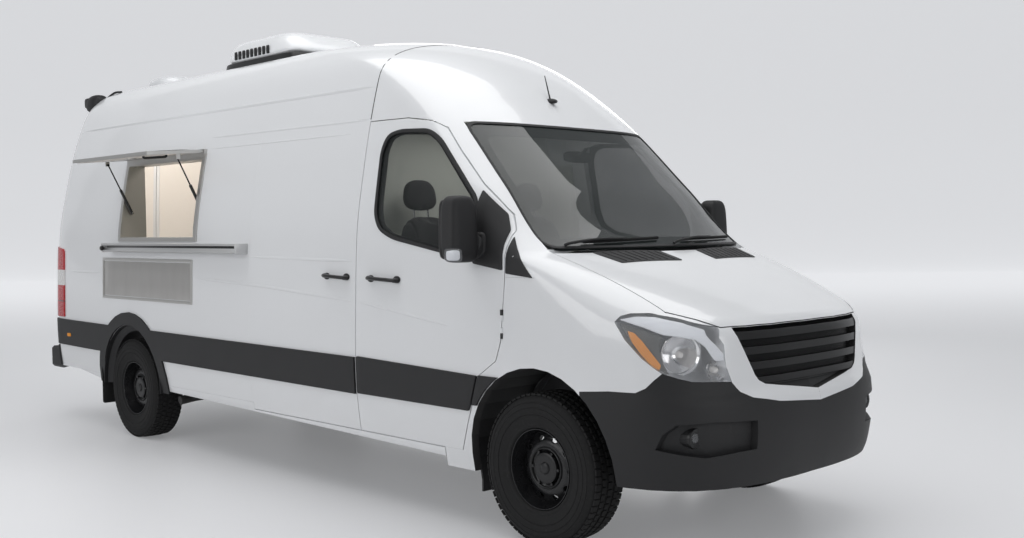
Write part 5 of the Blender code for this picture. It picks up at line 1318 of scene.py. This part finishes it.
# %% Flap, ledge and access panel
FLAP_ROOT, FLAP_TIP = Vector((0, -0.925, 2.1405)), Vector((0, -1.315, 2.105))
UPRIGHT_STEEL = metal_look("upright_brushed_steel", "stainless", (0.56, 0.545, 0.525), 0.26, (0.16, 1.0, 0.01), 0.16)
ALUMINIUM = metal_look("satin_aluminium", "stainless", (0.66, 0.66, 0.66), 0.32, (0.2, 1.0, 20.0), 0.1)


def on_flap(u, v, out):
    """A place on the flap: u along X, v from root 0 to tip 1, out above its middle plane."""
    along = FLAP_TIP - FLAP_ROOT
    normal = Vector((0, along.z, -along.y)).normalized()
    return Vector((u, 0, 0)) + FLAP_ROOT + along * v + normal * out


def section_bar(name, section, start, end, look, bevel=0.0012):
    """A bar along X with one (y, z) section and slightly rounded edges."""
    bm = bmesh.new()
    face = bm.faces.new([bm.verts.new((start, y, z)) for y, z in section])
    pulled = bmesh.ops.extrude_face_region(bm, geom=[face])["geom"]
    ends = [g for g in pulled if isinstance(g, bmesh.types.BMVert)]
    bmesh.ops.translate(bm, verts=ends, vec=(end - start, 0, 0))
    bmesh.ops.recalc_face_normals(bm, faces=bm.faces)
    bmesh.ops.bevel(bm, geom=bm.edges[:], offset=bevel, segments=2, profile=0.5, affect="EDGES", clamp_overlap=True)
    return piece(name, bm, look)


cover, under = oblong(-4.478, 0.02, -3.322, 0.985), oblong(-4.455, 0.06, -3.345, 0.94)
skin_plate("flap_cover", cover, 0.0125, 0.0150, on_flap, PAINT, grid=0.2, body="hatch_flap")
skin_plate("flap_lining", under, -0.0160, -0.0125, on_flap, CREAM, grid=0.2, body="hatch_flap")
down = on_flap(0.0, 0.0, -1.0) - on_flap(0.0, 0.0, 0.0)
for i, x in enumerate((-4.25, -3.90, -3.55)):
    downlight(f"flap_light_{i}", on_flap(x, 0.55, -0.0175), down, "hatch_flap")
LOCK_BAR = ((0.92, -0.016), (0.90, -0.028), (0.80, -0.030), (0.60, -0.030), (0.50, -0.028), (0.48, -0.016))
lock_bar = bowed([on_flap(-3.43, v, out) for v, out in LOCK_BAR], 4)
tube("flap_lock_bar", lock_bar, 0.009, GLOSS_PLASTIC, body="hatch_flap")
LEDGE = [
    (-0.956, 1.490), (-1.0635, 1.490), (-1.065, 1.4765), (-1.056, 1.4745), (-1.056, 1.4655), (-1.063, 1.4635),
    (-1.063, 1.4345), (-1.052, 1.4255), (-0.958, 1.4255),
]
LEDGE_REAR, LEDGE_FRONT = -4.592, -2.638
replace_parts(section_bar("ledge_profile", LEDGE, LEDGE_REAR, LEDGE_FRONT, ALUMINIUM), "counter_ledge")
# The groove's dark line is painted shade: a thin black strip laid in the groove.
groove = oblong(-1.0642, 1.4600, -1.0560, 1.4755)
section_bar("ledge_groove", groove, -4.50, LEDGE_FRONT, GLOSS_PLASTIC, 0.0004)
END = [(-0.957, 1.4915), (-1.0655, 1.4915), (-1.0655, 1.430), (-1.058, 1.4235), (-0.960, 1.4235)]
for i, x in enumerate((LEDGE_REAR - 0.008, LEDGE_FRONT)):
    section_bar(f"ledge_end_{i}", END, x, x + 0.008, ALUMINIUM, 0.0015)
KNOB = [(0.0, 0.026), (0.014, 0.024), (0.018, 0.018), (0.018, 0.006), (0.010, 0.0), (0.0, 0.0)]
turned("ledge_knob", KNOB, 28, (-4.57, -1.062, 1.455), GLOSS_PLASTIC, (0, -1, 0))
inside, hole = oblong(-4.752, 1.088, -3.378, 1.352), oblong(-4.757, 1.083, -3.373, 1.357)
plate = skin_plate("access_door", rounded(inside, 0.006), 0.0005, 0.0035, on_flank("right"), UPRIGHT_STEEL, (),
                   0.0008, 0.09)
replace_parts(plate, "access_panel")
skin_plate("access_frame", rounded(oblong(-4.778, 1.062, -3.352, 1.378), 0.008), 0.0005, 0.0060, on_flank("right"),
           STAINLESS, [rounded(hole, 0.008)], 0.0015, 0.09)
print("flap, ledge and access panel built")

# %% [markdown]
# ## On the roof
# A domed vent and an air conditioner stand on the roof, with a camera pod at the tail and an aerial over the cab.
# Their mouldings are rounded blocks, drawn in towards the top.


# %% Roof units
def drawn_in(middle, low, high, amount, slope=0.0):
    """A bend that narrows a block towards its top and may tip its top backwards."""
    def bend(place):
        rise = ((place.z - low) / (high - low)) ** 2
        x, y = (middle[i] + (place[i] - middle[i]) * (1 - amount * rise) for i in (0, 1))
        return Vector((x - slope * rise, y, place.z))
    return bend


for name, node, low, high, look, power, steps, shape in (
    ("vent_base", "roof_vent", (-5.57, -0.21, 2.70), (-5.13, 0.21, 2.835), PAINT, 9.0, (16, 48), (0.05,)),
    ("vent_lid", None, (-5.565, -0.205, 2.825), (-5.135, 0.205, 2.93), PAINT, 3.4, (22, 56), (0.16,)),
    ("cooler_base", "roof_air_conditioner", (-3.95, -0.37, 2.72), (-2.95, 0.37, 2.855), GLOSS_PLASTIC, 12.0, (16, 56),
     (0.03,)),
    ("cooler_cover", None, (-3.948, -0.368, 2.835), (-2.952, 0.368, 3.02), PAINT, 6.0, (26, 72), (0.20, 0.05)),
):
    middle = [(a + b) / 2 for a, b in zip(low, high)]
    made = block(name, low, high, look, power, steps, drawn_in(middle, low[2], high[2], *shape))
    if node:
        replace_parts(made, node)
louvres = bmesh.new()
for k in range(9):
    for y in (-0.3655, 0.3655):
        x = -3.75 + k * 0.055
        take_in(louvres, soft_block((x, y - 0.004, 2.862), (x + 0.035, y + 0.004, 2.925), 6.0, (6, 12)))
piece("cooler_louvres", louvres, GLOSS_PLASTIC)


def block_at(name, place, low, high, look, power, steps, bend=None):
    """A soft block between two corners given from a place."""
    return block(name, place + Vector(low), place + Vector(high), look, power, steps, bend)


POD, POD_HEIGHT = Vector((-5.60, -0.62, 2.600)), 0.150
block_at("camera_pod", POD, (-0.10, -0.075, 0.0), (0.13, 0.075, POD_HEIGHT), PLASTIC, 2.8, (20, 40),
         drawn_in(POD, POD.z, POD.z + POD_HEIGHT, 0.10, -0.03))
block_at("camera_hood", POD, (-0.135, -0.050, 0.045), (-0.05, 0.050, 0.135), GLOSS_PLASTIC, 4.5, (14, 28))
lead = [POD + Vector((0.11, 0.02, 0.09)), POD + Vector((0.17, 0.02, 0.11)), on_top(-5.36, -0.56, 0.012)]
tube("camera_lead", bowed([*lead, on_top(-5.28, -0.54, 0.004)], 5), 0.009, PLASTIC)
AERIAL, FOOT_HEIGHT = on_top(-0.80, 0.0, 0.0), 0.026
block_at("aerial_foot", AERIAL, (-0.055, -0.022, -0.006), (0.045, 0.022, FOOT_HEIGHT), PLASTIC, 2.6, (14, 28),
         drawn_in(AERIAL, AERIAL.z, AERIAL.z + FOOT_HEIGHT, 0.35, 0.01))
mast = [AERIAL + Vector((-0.01 - 0.30 * t, 0.0, 0.015 + t)) for t in (0.0, 0.05, 0.10, 0.15)]
tube("aerial_mast", mast, [0.0055, 0.0042, 0.0034, 0.0026], PLASTIC)
print("roof units built")

# %% [markdown]
# ## Pressed lines, seams and lamps of the flank
# Pressed creases catch a thin highlight. Here each is a low bead laid along the skin, two or three millimetres
# proud, in the same lacquer. The joint between cab and load body is a narrow dark line over the roof.


# %% Creases
CREASE = 0.0022


def crease(name, path, width, rise, body):
    """A low rounded bead along a path on the skin, running out at both ends."""
    last = len(path) - 1
    radii = [rise * min(1.0, 0.2 + min(k, last - k) * 0.4) for k in range(last + 1)]
    tube(name, path, radii, PAINT, flat=width / rise, body=body)


def bead(name, side, points, body="van_body", half=0.009, rise=CREASE):
    """A crease along the flank through (x, z) points."""
    flank = on_flank(side)
    path = []
    for start, end in zip(points, points[1:]):
        steps = max(2, int(abs(end[0] - start[0]) / 0.08))
        path += [flank(x, z, 0.0) for x, z in stretch(start, end, steps)[:-1]]
    crease(name, [*path, flank(*points[-1], 0.0)], half, rise, body)


HATCH_FRONT = {"right": -3.26, "left": None}
TAIL_PART, FLANK_PART = [(-4.81, 1.261)], [(-3.31, 1.251), (-2.4, 1.215), (-1.475, 1.160)]
for side, hatch in HATCH_FRONT.items():
    bead(f"roof_crease_{side}", side, [(-5.48, 2.425), (-1.46, 2.412)], half=0.013, rise=0.0030)
    bead(f"waist_crease_{side}", side, [(-1.43, 1.157), (-1.0, 1.11), (-0.62, 1.06)], f"front_door_{side}")
    bead(f"tail_crease_{side}", side, [(-5.42, 1.258), *TAIL_PART])
    bead(f"flank_crease_{side}", side, FLANK_PART if hatch else TAIL_PART + FLANK_PART)
    bead(f"belt_line_{side}", side, [(-2.60, 1.405) if hatch else (-5.40, 1.42), (-1.475, 1.392)])
    bead(f"upper_crease_{side}", side, [(hatch or -5.45, 2.229), (-1.475, 2.213)])
    bead(f"recess_edge_{side}", side, [(hatch or -5.20, 2.150), (-1.62, 2.142)], half=0.006)
print("creases laid")

# %% Roof joint, tail lamps and markers
SEAM_X, SEAM_HALF, SEAM = -1.4495, 0.003, (-0.002, 0.0012)
for name, low, high, view in (
    ("right", 2.215, 2.70, on_flank("right")), ("left", 2.215, 2.70, on_flank("left")), ("top", -0.66, 0.66, on_top),
):
    strip = oblong(SEAM_X - SEAM_HALF, low, SEAM_X + SEAM_HALF, high)
    skin_plate(f"roof_joint_{name}", strip, *SEAM, view, PLASTIC, bevel=0.0, grid=0.04)
TAIL_LAMP = Look("tail_lamp_lens", "red_lamp")
height = TAIL_LAMP.axes()[2] - SHIFT.z
white = height.between(1.135, 1.140) * (1 - height.between(1.264, 1.269))
line = height.between(0.998, 1.001) * (1 - height.between(1.008, 1.011))
prisms = TAIL_LAMP.node("ShaderNodeTexVoronoi", {"Vector": TAIL_LAMP.place, "Scale": 95.0}, out="Distance")
red = TAIL_LAMP.blend(prisms, (0.36, 0.003, 0.008), (0.52, 0.008, 0.016))
lens = TAIL_LAMP.blend(white, red, (0.74, 0.73, 0.72))
TAIL_LAMP.set(Base_Color=TAIL_LAMP.blend(line, lens, (0.10, 0.005, 0.005)), Roughness=0.22 + prisms * 0.1)
TAIL_LAMP.set(Coat_Weight=0.25)
TAIL_LAMP.bump(prisms, 0.0006)
WRAP = rounded([(-5.742, 0.872), (-5.742, 1.462), (-5.565, 1.440), (-5.548, 1.415), (-5.540, 0.872)], 0.012)
MARKER = Vector((0.035, 0.006, 0.014))
for side in SIDES:
    smooth_skin(f"tail_lamp_{side}", TAIL_LAMP)
    skin_plate(f"tail_lamp_wrap_{side}", WRAP, 0.0006, 0.010, on_flank(side), TAIL_LAMP, (), 0.004, 0.03)
    block_at(f"side_marker_{side}", on_flank(side)(-5.44, 0.728, 0.014), -MARKER, MARKER, AMBER, 4.5, (12, 24))
print("tail lamps and markers built")

# %% Rear arches, mud flaps and the rest of the sills
ARCH_MIDDLE = Vector((-4.325, 0.0, 0.401))
ARCH_SECTION = [
    (0.706, 0.418), (0.925, 0.418), (0.955, 0.462), (0.984, 0.462), (0.984, 0.4685), (0.950, 0.4685), (0.920, 0.426),
    (0.706, 0.426),
]
SILL, SILL_TOP = (-0.045, -0.0002), 0.4485
TAIL_SILL = [(-5.30, SILL_TOP), (-4.86, SILL_TOP), (-4.86, 0.398)]
arc = [math.radians(46 + 88 * k / 16) for k in range(17)]
HOUSE = [(ARCH_MIDDLE.x + 0.424 * math.cos(a), ARCH_MIDDLE.z + 0.424 * math.sin(a)) for a in arc]
for side, sign in SIDES.items():
    liner, rings = bmesh.new(), []
    for k in range(41):
        a = math.radians(-2 + 184 * k / 40)
        around = [Vector((r * math.cos(a), sign * y, r * math.sin(a))) for y, r in ARCH_SECTION]
        rings.append([liner.verts.new(ARCH_MIDDLE + v) for v in around])
    ring_faces(liner, rings)
    piece(f"rear_arch_liner_{side}", liner, PLASTIC)
    skin_plate(f"wheelhouse_{side}", HOUSE, 0.706, 0.712, lambda x, z, w: Vector((x, sign * w, z)), PLASTIC, grid=0.1)
    flap = rounded(oblong(sign * 0.80, 0.215, sign * 0.98, 0.60), 0.02)
    skin_plate(f"rear_mud_flap_{side}", flap, -4.836, -4.828, lambda y, z, w: Vector((w, y, z)), RUBBER, (), 0.002, 0.1,
               slot="black_plastic")
    step = -2.6135 if side == "right" else -1.46
    front = [(-3.830, 0.408), (-3.830, SILL_TOP), (step, SILL_TOP), (step, 0.3985), (-0.705, 0.3985), (-0.705, 0.352)]
    for name, corners in (("sill", front), ("tail_sill", TAIL_SILL)):
        skin_plate(f"{name}_{side}", corners, *SILL, on_flank(side), PAINT, (), 0.001, 0.08)
print("rear arches and sills closed")

# %% Rear doors and bumper
GRIP = ((1.06, 0.006), (1.075, 0.026), (1.14, 0.032), (1.205, 0.026), (1.22, 0.006))
BUMPER_CORNER = rounded([(-5.848, 0.455), (-5.700, 0.455), (-5.742, 0.628), (-5.855, 0.628)], 0.012)
for side, sign in SIDES.items():
    door = f"rear_door_{side}"
    plate = rounded(oblong(sign * 0.055, 1.03, sign * 0.150, 1.25), 0.03)
    skin_plate(f"rear_handle_plate_{side}", plate, 0.0005, 0.008, on_tail, PLASTIC, bevel=0.003, body=door)
    grip = bowed([on_tail(sign * 0.100, z, out) for z, out in GRIP], 5)
    tube(f"rear_handle_{side}", grip, 0.011, GLOSS_PLASTIC, 16, flat=1.4, body=door)
    for i, (z, end) in enumerate(((1.35, 0.68), (2.05, 0.62))):
        path = [on_tail(y, z, 0.0) for y, in stretch((sign * 0.10,), (sign * end,), 10)]
        crease(f"rear_door_crease_{side}_{i}", path, 0.010, 0.0025, door)
    skin_plate(f"bumper_corner_{side}", BUMPER_CORNER, 0.0004, 0.016, on_flank(side), PLASTIC, (), 0.004, 0.03)
top_lamp = rounded(oblong(-0.17, 2.405, 0.17, 2.435), 0.012)
skin_plate("high_brake_lamp", top_lamp, 0.0006, 0.012, on_tail, TAIL_LAMP, (), 0.003, 0.04)
for i in range(5):
    rib = stretch((-5.90 + 0.04 * i, -0.62, 0.6015), (-5.90 + 0.04 * i, 0.62, 0.6015), 10)
    tube(f"step_rib_{i}", rib, 0.0045, GLOSS_PLASTIC, 10, flat=0.6)
print("rear end dressed")

# %% Under the floor
EXHAUST = [
    (-0.75, -0.22, 0.40), (-1.6, -0.26, 0.42), (-2.3, -0.31, 0.42), (-3.1, -0.31, 0.42), (-3.45, -0.45, 0.40),
    (-3.70, -0.72, 0.36), (-3.72, -0.90, 0.34),
]
SHAFT = [(0.0, -1.62), (0.028, -1.62), (0.045, -1.60), (0.045, 1.60), (0.028, 1.62), (0.0, 1.62)]
tube("exhaust_pipe", bowed(EXHAUST, 8), 0.032, CHASSIS, 20)
block("silencer", (-3.05, -0.44, 0.345), (-2.35, -0.18, 0.50), CHASSIS, 4.0, (20, 40))
turned("drive_shaft", SHAFT, 32, (-2.45, 0.0, 0.42), CHASSIS, (1, 0, -0.01))
print("underside dressed")

# %% Bonnet vents and wipers
VENT = [(0.070, -0.632), (0.128, -0.158), (0.272, -0.146), (0.232, -0.588)]
RIBS, BLADE_HEIGHT = 8, 0.008
for side, sign in SIDES.items():
    corners = [Vector((x, -sign * y)) for x, y in VENT]
    rim = rounded(corners, 0.012)
    skin_plate(f"bonnet_vent_{side}", rim, 0.0004, 0.0035, on_top, PLASTIC, (), 0.0012, 0.04, "bonnet")
    ribs = bmesh.new()
    for k in range(1, RIBS + 1):
        t = k / (RIBS + 1)
        rear, front = corners[0].lerp(corners[1], t), corners[3].lerp(corners[2], t)
        path = [on_top(*rear.lerp(front, 0.08 + 0.84 * i / 6), 0.004) for i in range(7)]
        take_in(ribs, tube_mesh(path, 0.0028, 8))
    piece(f"bonnet_vent_ribs_{side}", ribs, GLOSS_PLASTIC, body="bonnet")
WIPERS = {
    "right": ((-0.735, 1.480), (-0.62, 1.492), (-0.05, 1.507)),
    "left": ((0.045, 1.480), (0.16, 1.498), (0.70, 1.505)),
}
for side, (pivot, near, far) in WIPERS.items():
    blade = [on_nose(y, z, BLADE_HEIGHT) for y, z in stretch(near, far, 10)]
    tube(f"wiper_blade_{side}", blade, 0.0055, RUBBER, 10, flat=1.5, slot="black_plastic")
    y, z = ((a + b) / 2 for a, b in zip(near, far))
    arm = [on_nose(*pivot, 0.004), on_nose(pivot[0] + 0.04, pivot[1], 0.020)]
    arm += [on_nose((pivot[0] + y) / 2, (pivot[1] + z) / 2 + 0.002, 0.024), on_nose(y, z, 0.016)]
    tube(f"wiper_arm_{side}", bowed(arm, 5), 0.0075, PLASTIC)
print("vents and wipers built")

# %% [markdown]
# ## Seats and cab
# A seat pad is foam inside a tight cover. Each starts as a slightly small rounded form, becomes an even mesh of
# small faces, and a short cloth simulation blows it up like a cushion. No point may move further than a cap.

# %% Padded forms
PRESSURE, FRAMES, CHANNEL_WIDTH, CHANNEL_DEPTH = 4.0, 20, 0.008, 0.006


def blown_up(name, bm, voxel, cap, channels=()):
    """The mesh of one pad after the simulation, with sewn channels pressed in at some widths from its middle."""
    scene = bpy.context.scene
    bmesh.ops.recalc_face_normals(bm, faces=bm.faces)
    pad = linked(name, mesh_of(name, bm))

    def applied():
        graph = bpy.context.evaluated_depsgraph_get()
        return bpy.data.meshes.new_from_object(pad.evaluated_get(graph))

    remesh = pad.modifiers.new("remesh", "REMESH")
    remesh.mode, remesh.voxel_size = "VOXEL", voxel
    fine = applied()
    pad.modifiers.remove(remesh)
    pad.data = fine
    start = np.empty(len(fine.vertices) * 3, dtype=np.float32)
    fine.vertices.foreach_get("co", start)
    cloth = pad.modifiers.new("cloth", "CLOTH")
    cloth.settings.use_pressure = True
    cloth.settings.uniform_pressure_force = PRESSURE
    cloth.settings.effector_weights.gravity = 0.0
    cloth.point_cache.frame_start, cloth.point_cache.frame_end = 1, FRAMES
    for number in range(1, FRAMES + 1):
        scene.frame_set(number)
    blown = applied()
    end = np.empty_like(start)
    blown.vertices.foreach_get("co", end)
    pad.modifiers.remove(cloth)
    scene.frame_set(1)
    move = (end - start).reshape(-1, 3)
    move *= np.minimum(1.0, cap / np.maximum(np.linalg.norm(move, axis=1, keepdims=True), 1e-6))
    fine.vertices.foreach_set("co", (start.reshape(-1, 3) + move).ravel())
    finer = pad.modifiers.new("finer", "SUBSURF")
    finer.levels = finer.render_levels = 1
    fine = applied()
    bpy.data.objects.remove(pad)
    place, normal = np.empty((2, len(fine.vertices) * 3), dtype=np.float32)
    fine.vertices.foreach_get("co", place)
    fine.vertices.foreach_get("normal", normal)
    place, normal = place.reshape(-1, 3), normal.reshape(-1, 3)
    for at in channels:
        groove = np.exp(-(((np.abs(place[:, 1]) - at) / CHANNEL_WIDTH) ** 2))
        place -= normal * (CHANNEL_DEPTH * groove)[:, None]
    fine.vertices.foreach_set("co", place.ravel())
    return fine


def leaned(low, high):
    """A bend that stands a block up along a leaning line between two (x, z) places."""
    low, high = Vector((low[0], 0, low[1])), Vector((high[0], 0, high[1]))
    along = (high - low).normalized()
    face = Vector((along.z, 0, -along.x))
    return lambda p: low + along * p.z + face * p.x + Vector((0, p.y, 0))


lean = leaned((-1.285, 1.075), (-1.445, 1.675))
head_lean = leaned((-1.462, 1.688), (-1.480, 1.885))


def cushion_bend(p):
    """Raises the sides of the upper face and tucks the front of the lower face up."""
    swell = 0.022 * (abs(p.y) / 0.235) ** 3 if p.z > 1.03 else 0.0
    tuck = 0.03 * max(0.0, (p.x + 0.95) / 0.15) ** 2 if p.z < 1.03 else 0.0
    return Vector((p.x, p.y, p.z + swell + tuck))


def back_bend(p):
    """Brings the sides of the front face forward, narrows the top and leans the whole back."""
    swell = 0.030 * (abs(p.y) / 0.225) ** 3 if p.x > 0 else 0.0
    return lean(Vector((p.x + swell, p.y * (1 - 0.16 * (p.z / 0.62) ** 3), p.z)))


def head_bend(p):
    return head_lean(Vector((p.x, p.y * (1 - 0.22 * (p.z / 0.19) ** 2), p.z)))


PADS = (
    ("cushion", (-1.315, -0.232, 0.985), (-0.805, 0.232, 1.085), 3.6, (24, 48), cushion_bend, 0.009, 0.020, (0.145,)),
    ("backrest", (-0.052, -0.222, 0.0), (0.052, 0.222, 0.61), 3.6, (24, 48), back_bend, 0.009, 0.020, (0.135,)),
    ("headrest", (-0.036, -0.128, 0.0), (0.036, 0.128, 0.185), 3.0, (20, 40), head_bend, 0.007, 0.016, ()),
)
print("pads shaped")

# %% Seats
SEATS, SEAT_Y = {"passenger": -1, "driver": 1}, 0.47
for part, low, high, power, steps, form, voxel, cap, channels in PADS:
    pad = blown_up(part, soft_block(low, high, power, steps, form), voxel, cap, channels)
    for seat, sign in SEATS.items():
        bm = bmesh.new()
        bm.from_mesh(pad)
        bmesh.ops.translate(bm, verts=bm.verts, vec=(0, sign * SEAT_Y, 0))
        made = piece(f"{seat}_{part}", bm, CLOTH, 180.0)
        if part == "cushion":
            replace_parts(made, f"seat_{seat}")
    bpy.data.meshes.remove(pad)
RECLINER = [(0.0, 0.02), (0.030, 0.018), (0.036, 0.010), (0.036, 0.0), (0.0, 0.0)]
for seat, sign in SEATS.items():
    y = sign * SEAT_Y
    block(f"{seat}_seat_base", (-1.27, y - 0.20, 0.656), (-0.89, y + 0.20, 0.985), TRIM, 9.0, (18, 40))
    for i, k in enumerate((-0.055, 0.055)):
        post = [head_lean(Vector((0.0, y + k, h))) for h in (-0.09, -0.03, 0.03)]
        tube(f"{seat}_head_post_{i}", post, 0.0065, CHROME, slot="stainless")
    turned(f"{seat}_recliner", RECLINER, 24, (-1.27, y + 0.245 * sign, 1.04), PLASTIC, (0, sign, 0))
print("seats built")

# %% Steering wheel, dashboard and mirror
WHEEL_MIDDLE, WHEEL_AXIS, RIM_ACROSS = Vector((-0.66, 0.46, 1.36)), (-0.669, 0, 0.743), Vector((0.743, 0, 0.669))
rim = [WHEEL_MIDDLE + RIM_ACROSS * u + Vector((0, v, 0)) for u, v in circle(0.195, 48)]
tube("steering_wheel_rim", rim, 0.0175, GLOSS_PLASTIC, 16, closed=True, slot="cab_trim")
BOSS = [(0.0, 0.030), (0.040, 0.028), (0.075, 0.018), (0.085, 0.004), (0.080, -0.010), (0.0, -0.014)]
turned("steering_wheel_boss", BOSS, 40, WHEEL_MIDDLE, TRIM, WHEEL_AXIS)
for name, low, high, look, power, steps, bend in (
    ("instrument_hood", (-0.52, 0.27, 1.19), (-0.26, 0.65, 1.285), TRIM, 3.0, (18, 40),
     lambda p: Vector((p.x, p.y, p.z + 0.05 * (-0.39 - p.x)))),
    ("centre_screen", (-0.545, -0.14, 1.13), (-0.515, 0.14, 1.27), GLOSS_PLASTIC, 7.0, (14, 32), None),
    ("glove_box_lid", (-0.597, -0.74, 1.02), (-0.572, -0.28, 1.15), TRIM, 8.0, (14, 36), None),
):
    block(name, low, high, look, power, steps, bend)
AIR_VENT = [(0.030, 0.010), (0.042, 0.010), (0.047, 0.002), (0.047, -0.01), (0.034, -0.01), (0.030, 0.0)]
for i, y in enumerate((-0.74, -0.20, 0.20, 0.74)):
    turned(f"air_vent_{i}", AIR_VENT, 32, (-0.565, y, 1.195), GLOSS_PLASTIC, (-1, 0, 0.15), closed=True)
foot = on_nose(0.0, 2.035, -0.014)
block_at("inner_mirror", foot, (-0.085, -0.115, -0.075), (-0.055, 0.115, -0.010), PLASTIC, 3.6, (16, 36))
stem = [foot + Vector(v) for v in ((0, 0, 0), (-0.03, 0, -0.02), (-0.06, 0, -0.04))]
tube("inner_mirror_stem", stem, 0.010, PLASTIC)
print("cab furnished")

# %% Finishes for the frame's own pieces
KEPT = (
    (STAINLESS, "hatch_frame hatch_flap galley_cabinet"), (BLACK_STEEL, "strut_rod_rear strut_rod_front"),
    (GLOSS_PLASTIC, "strut_tube_rear strut_tube_front"), (LINING, "partition"), (TRIM, "dashboard cab_floor"),
    (PLASTIC, "rear_bumper front_arch_liner_right front_arch_liner_left"),
    (CHASSIS, "engine fuel_tank rear_axle front_subframe floor_frame load_floor knuckle_right knuckle_left"),
)
for look, nodes in KEPT:
    for node in nodes.split():
        NODES[node].data.materials.clear()
        NODES[node].data.materials.append(look.material)
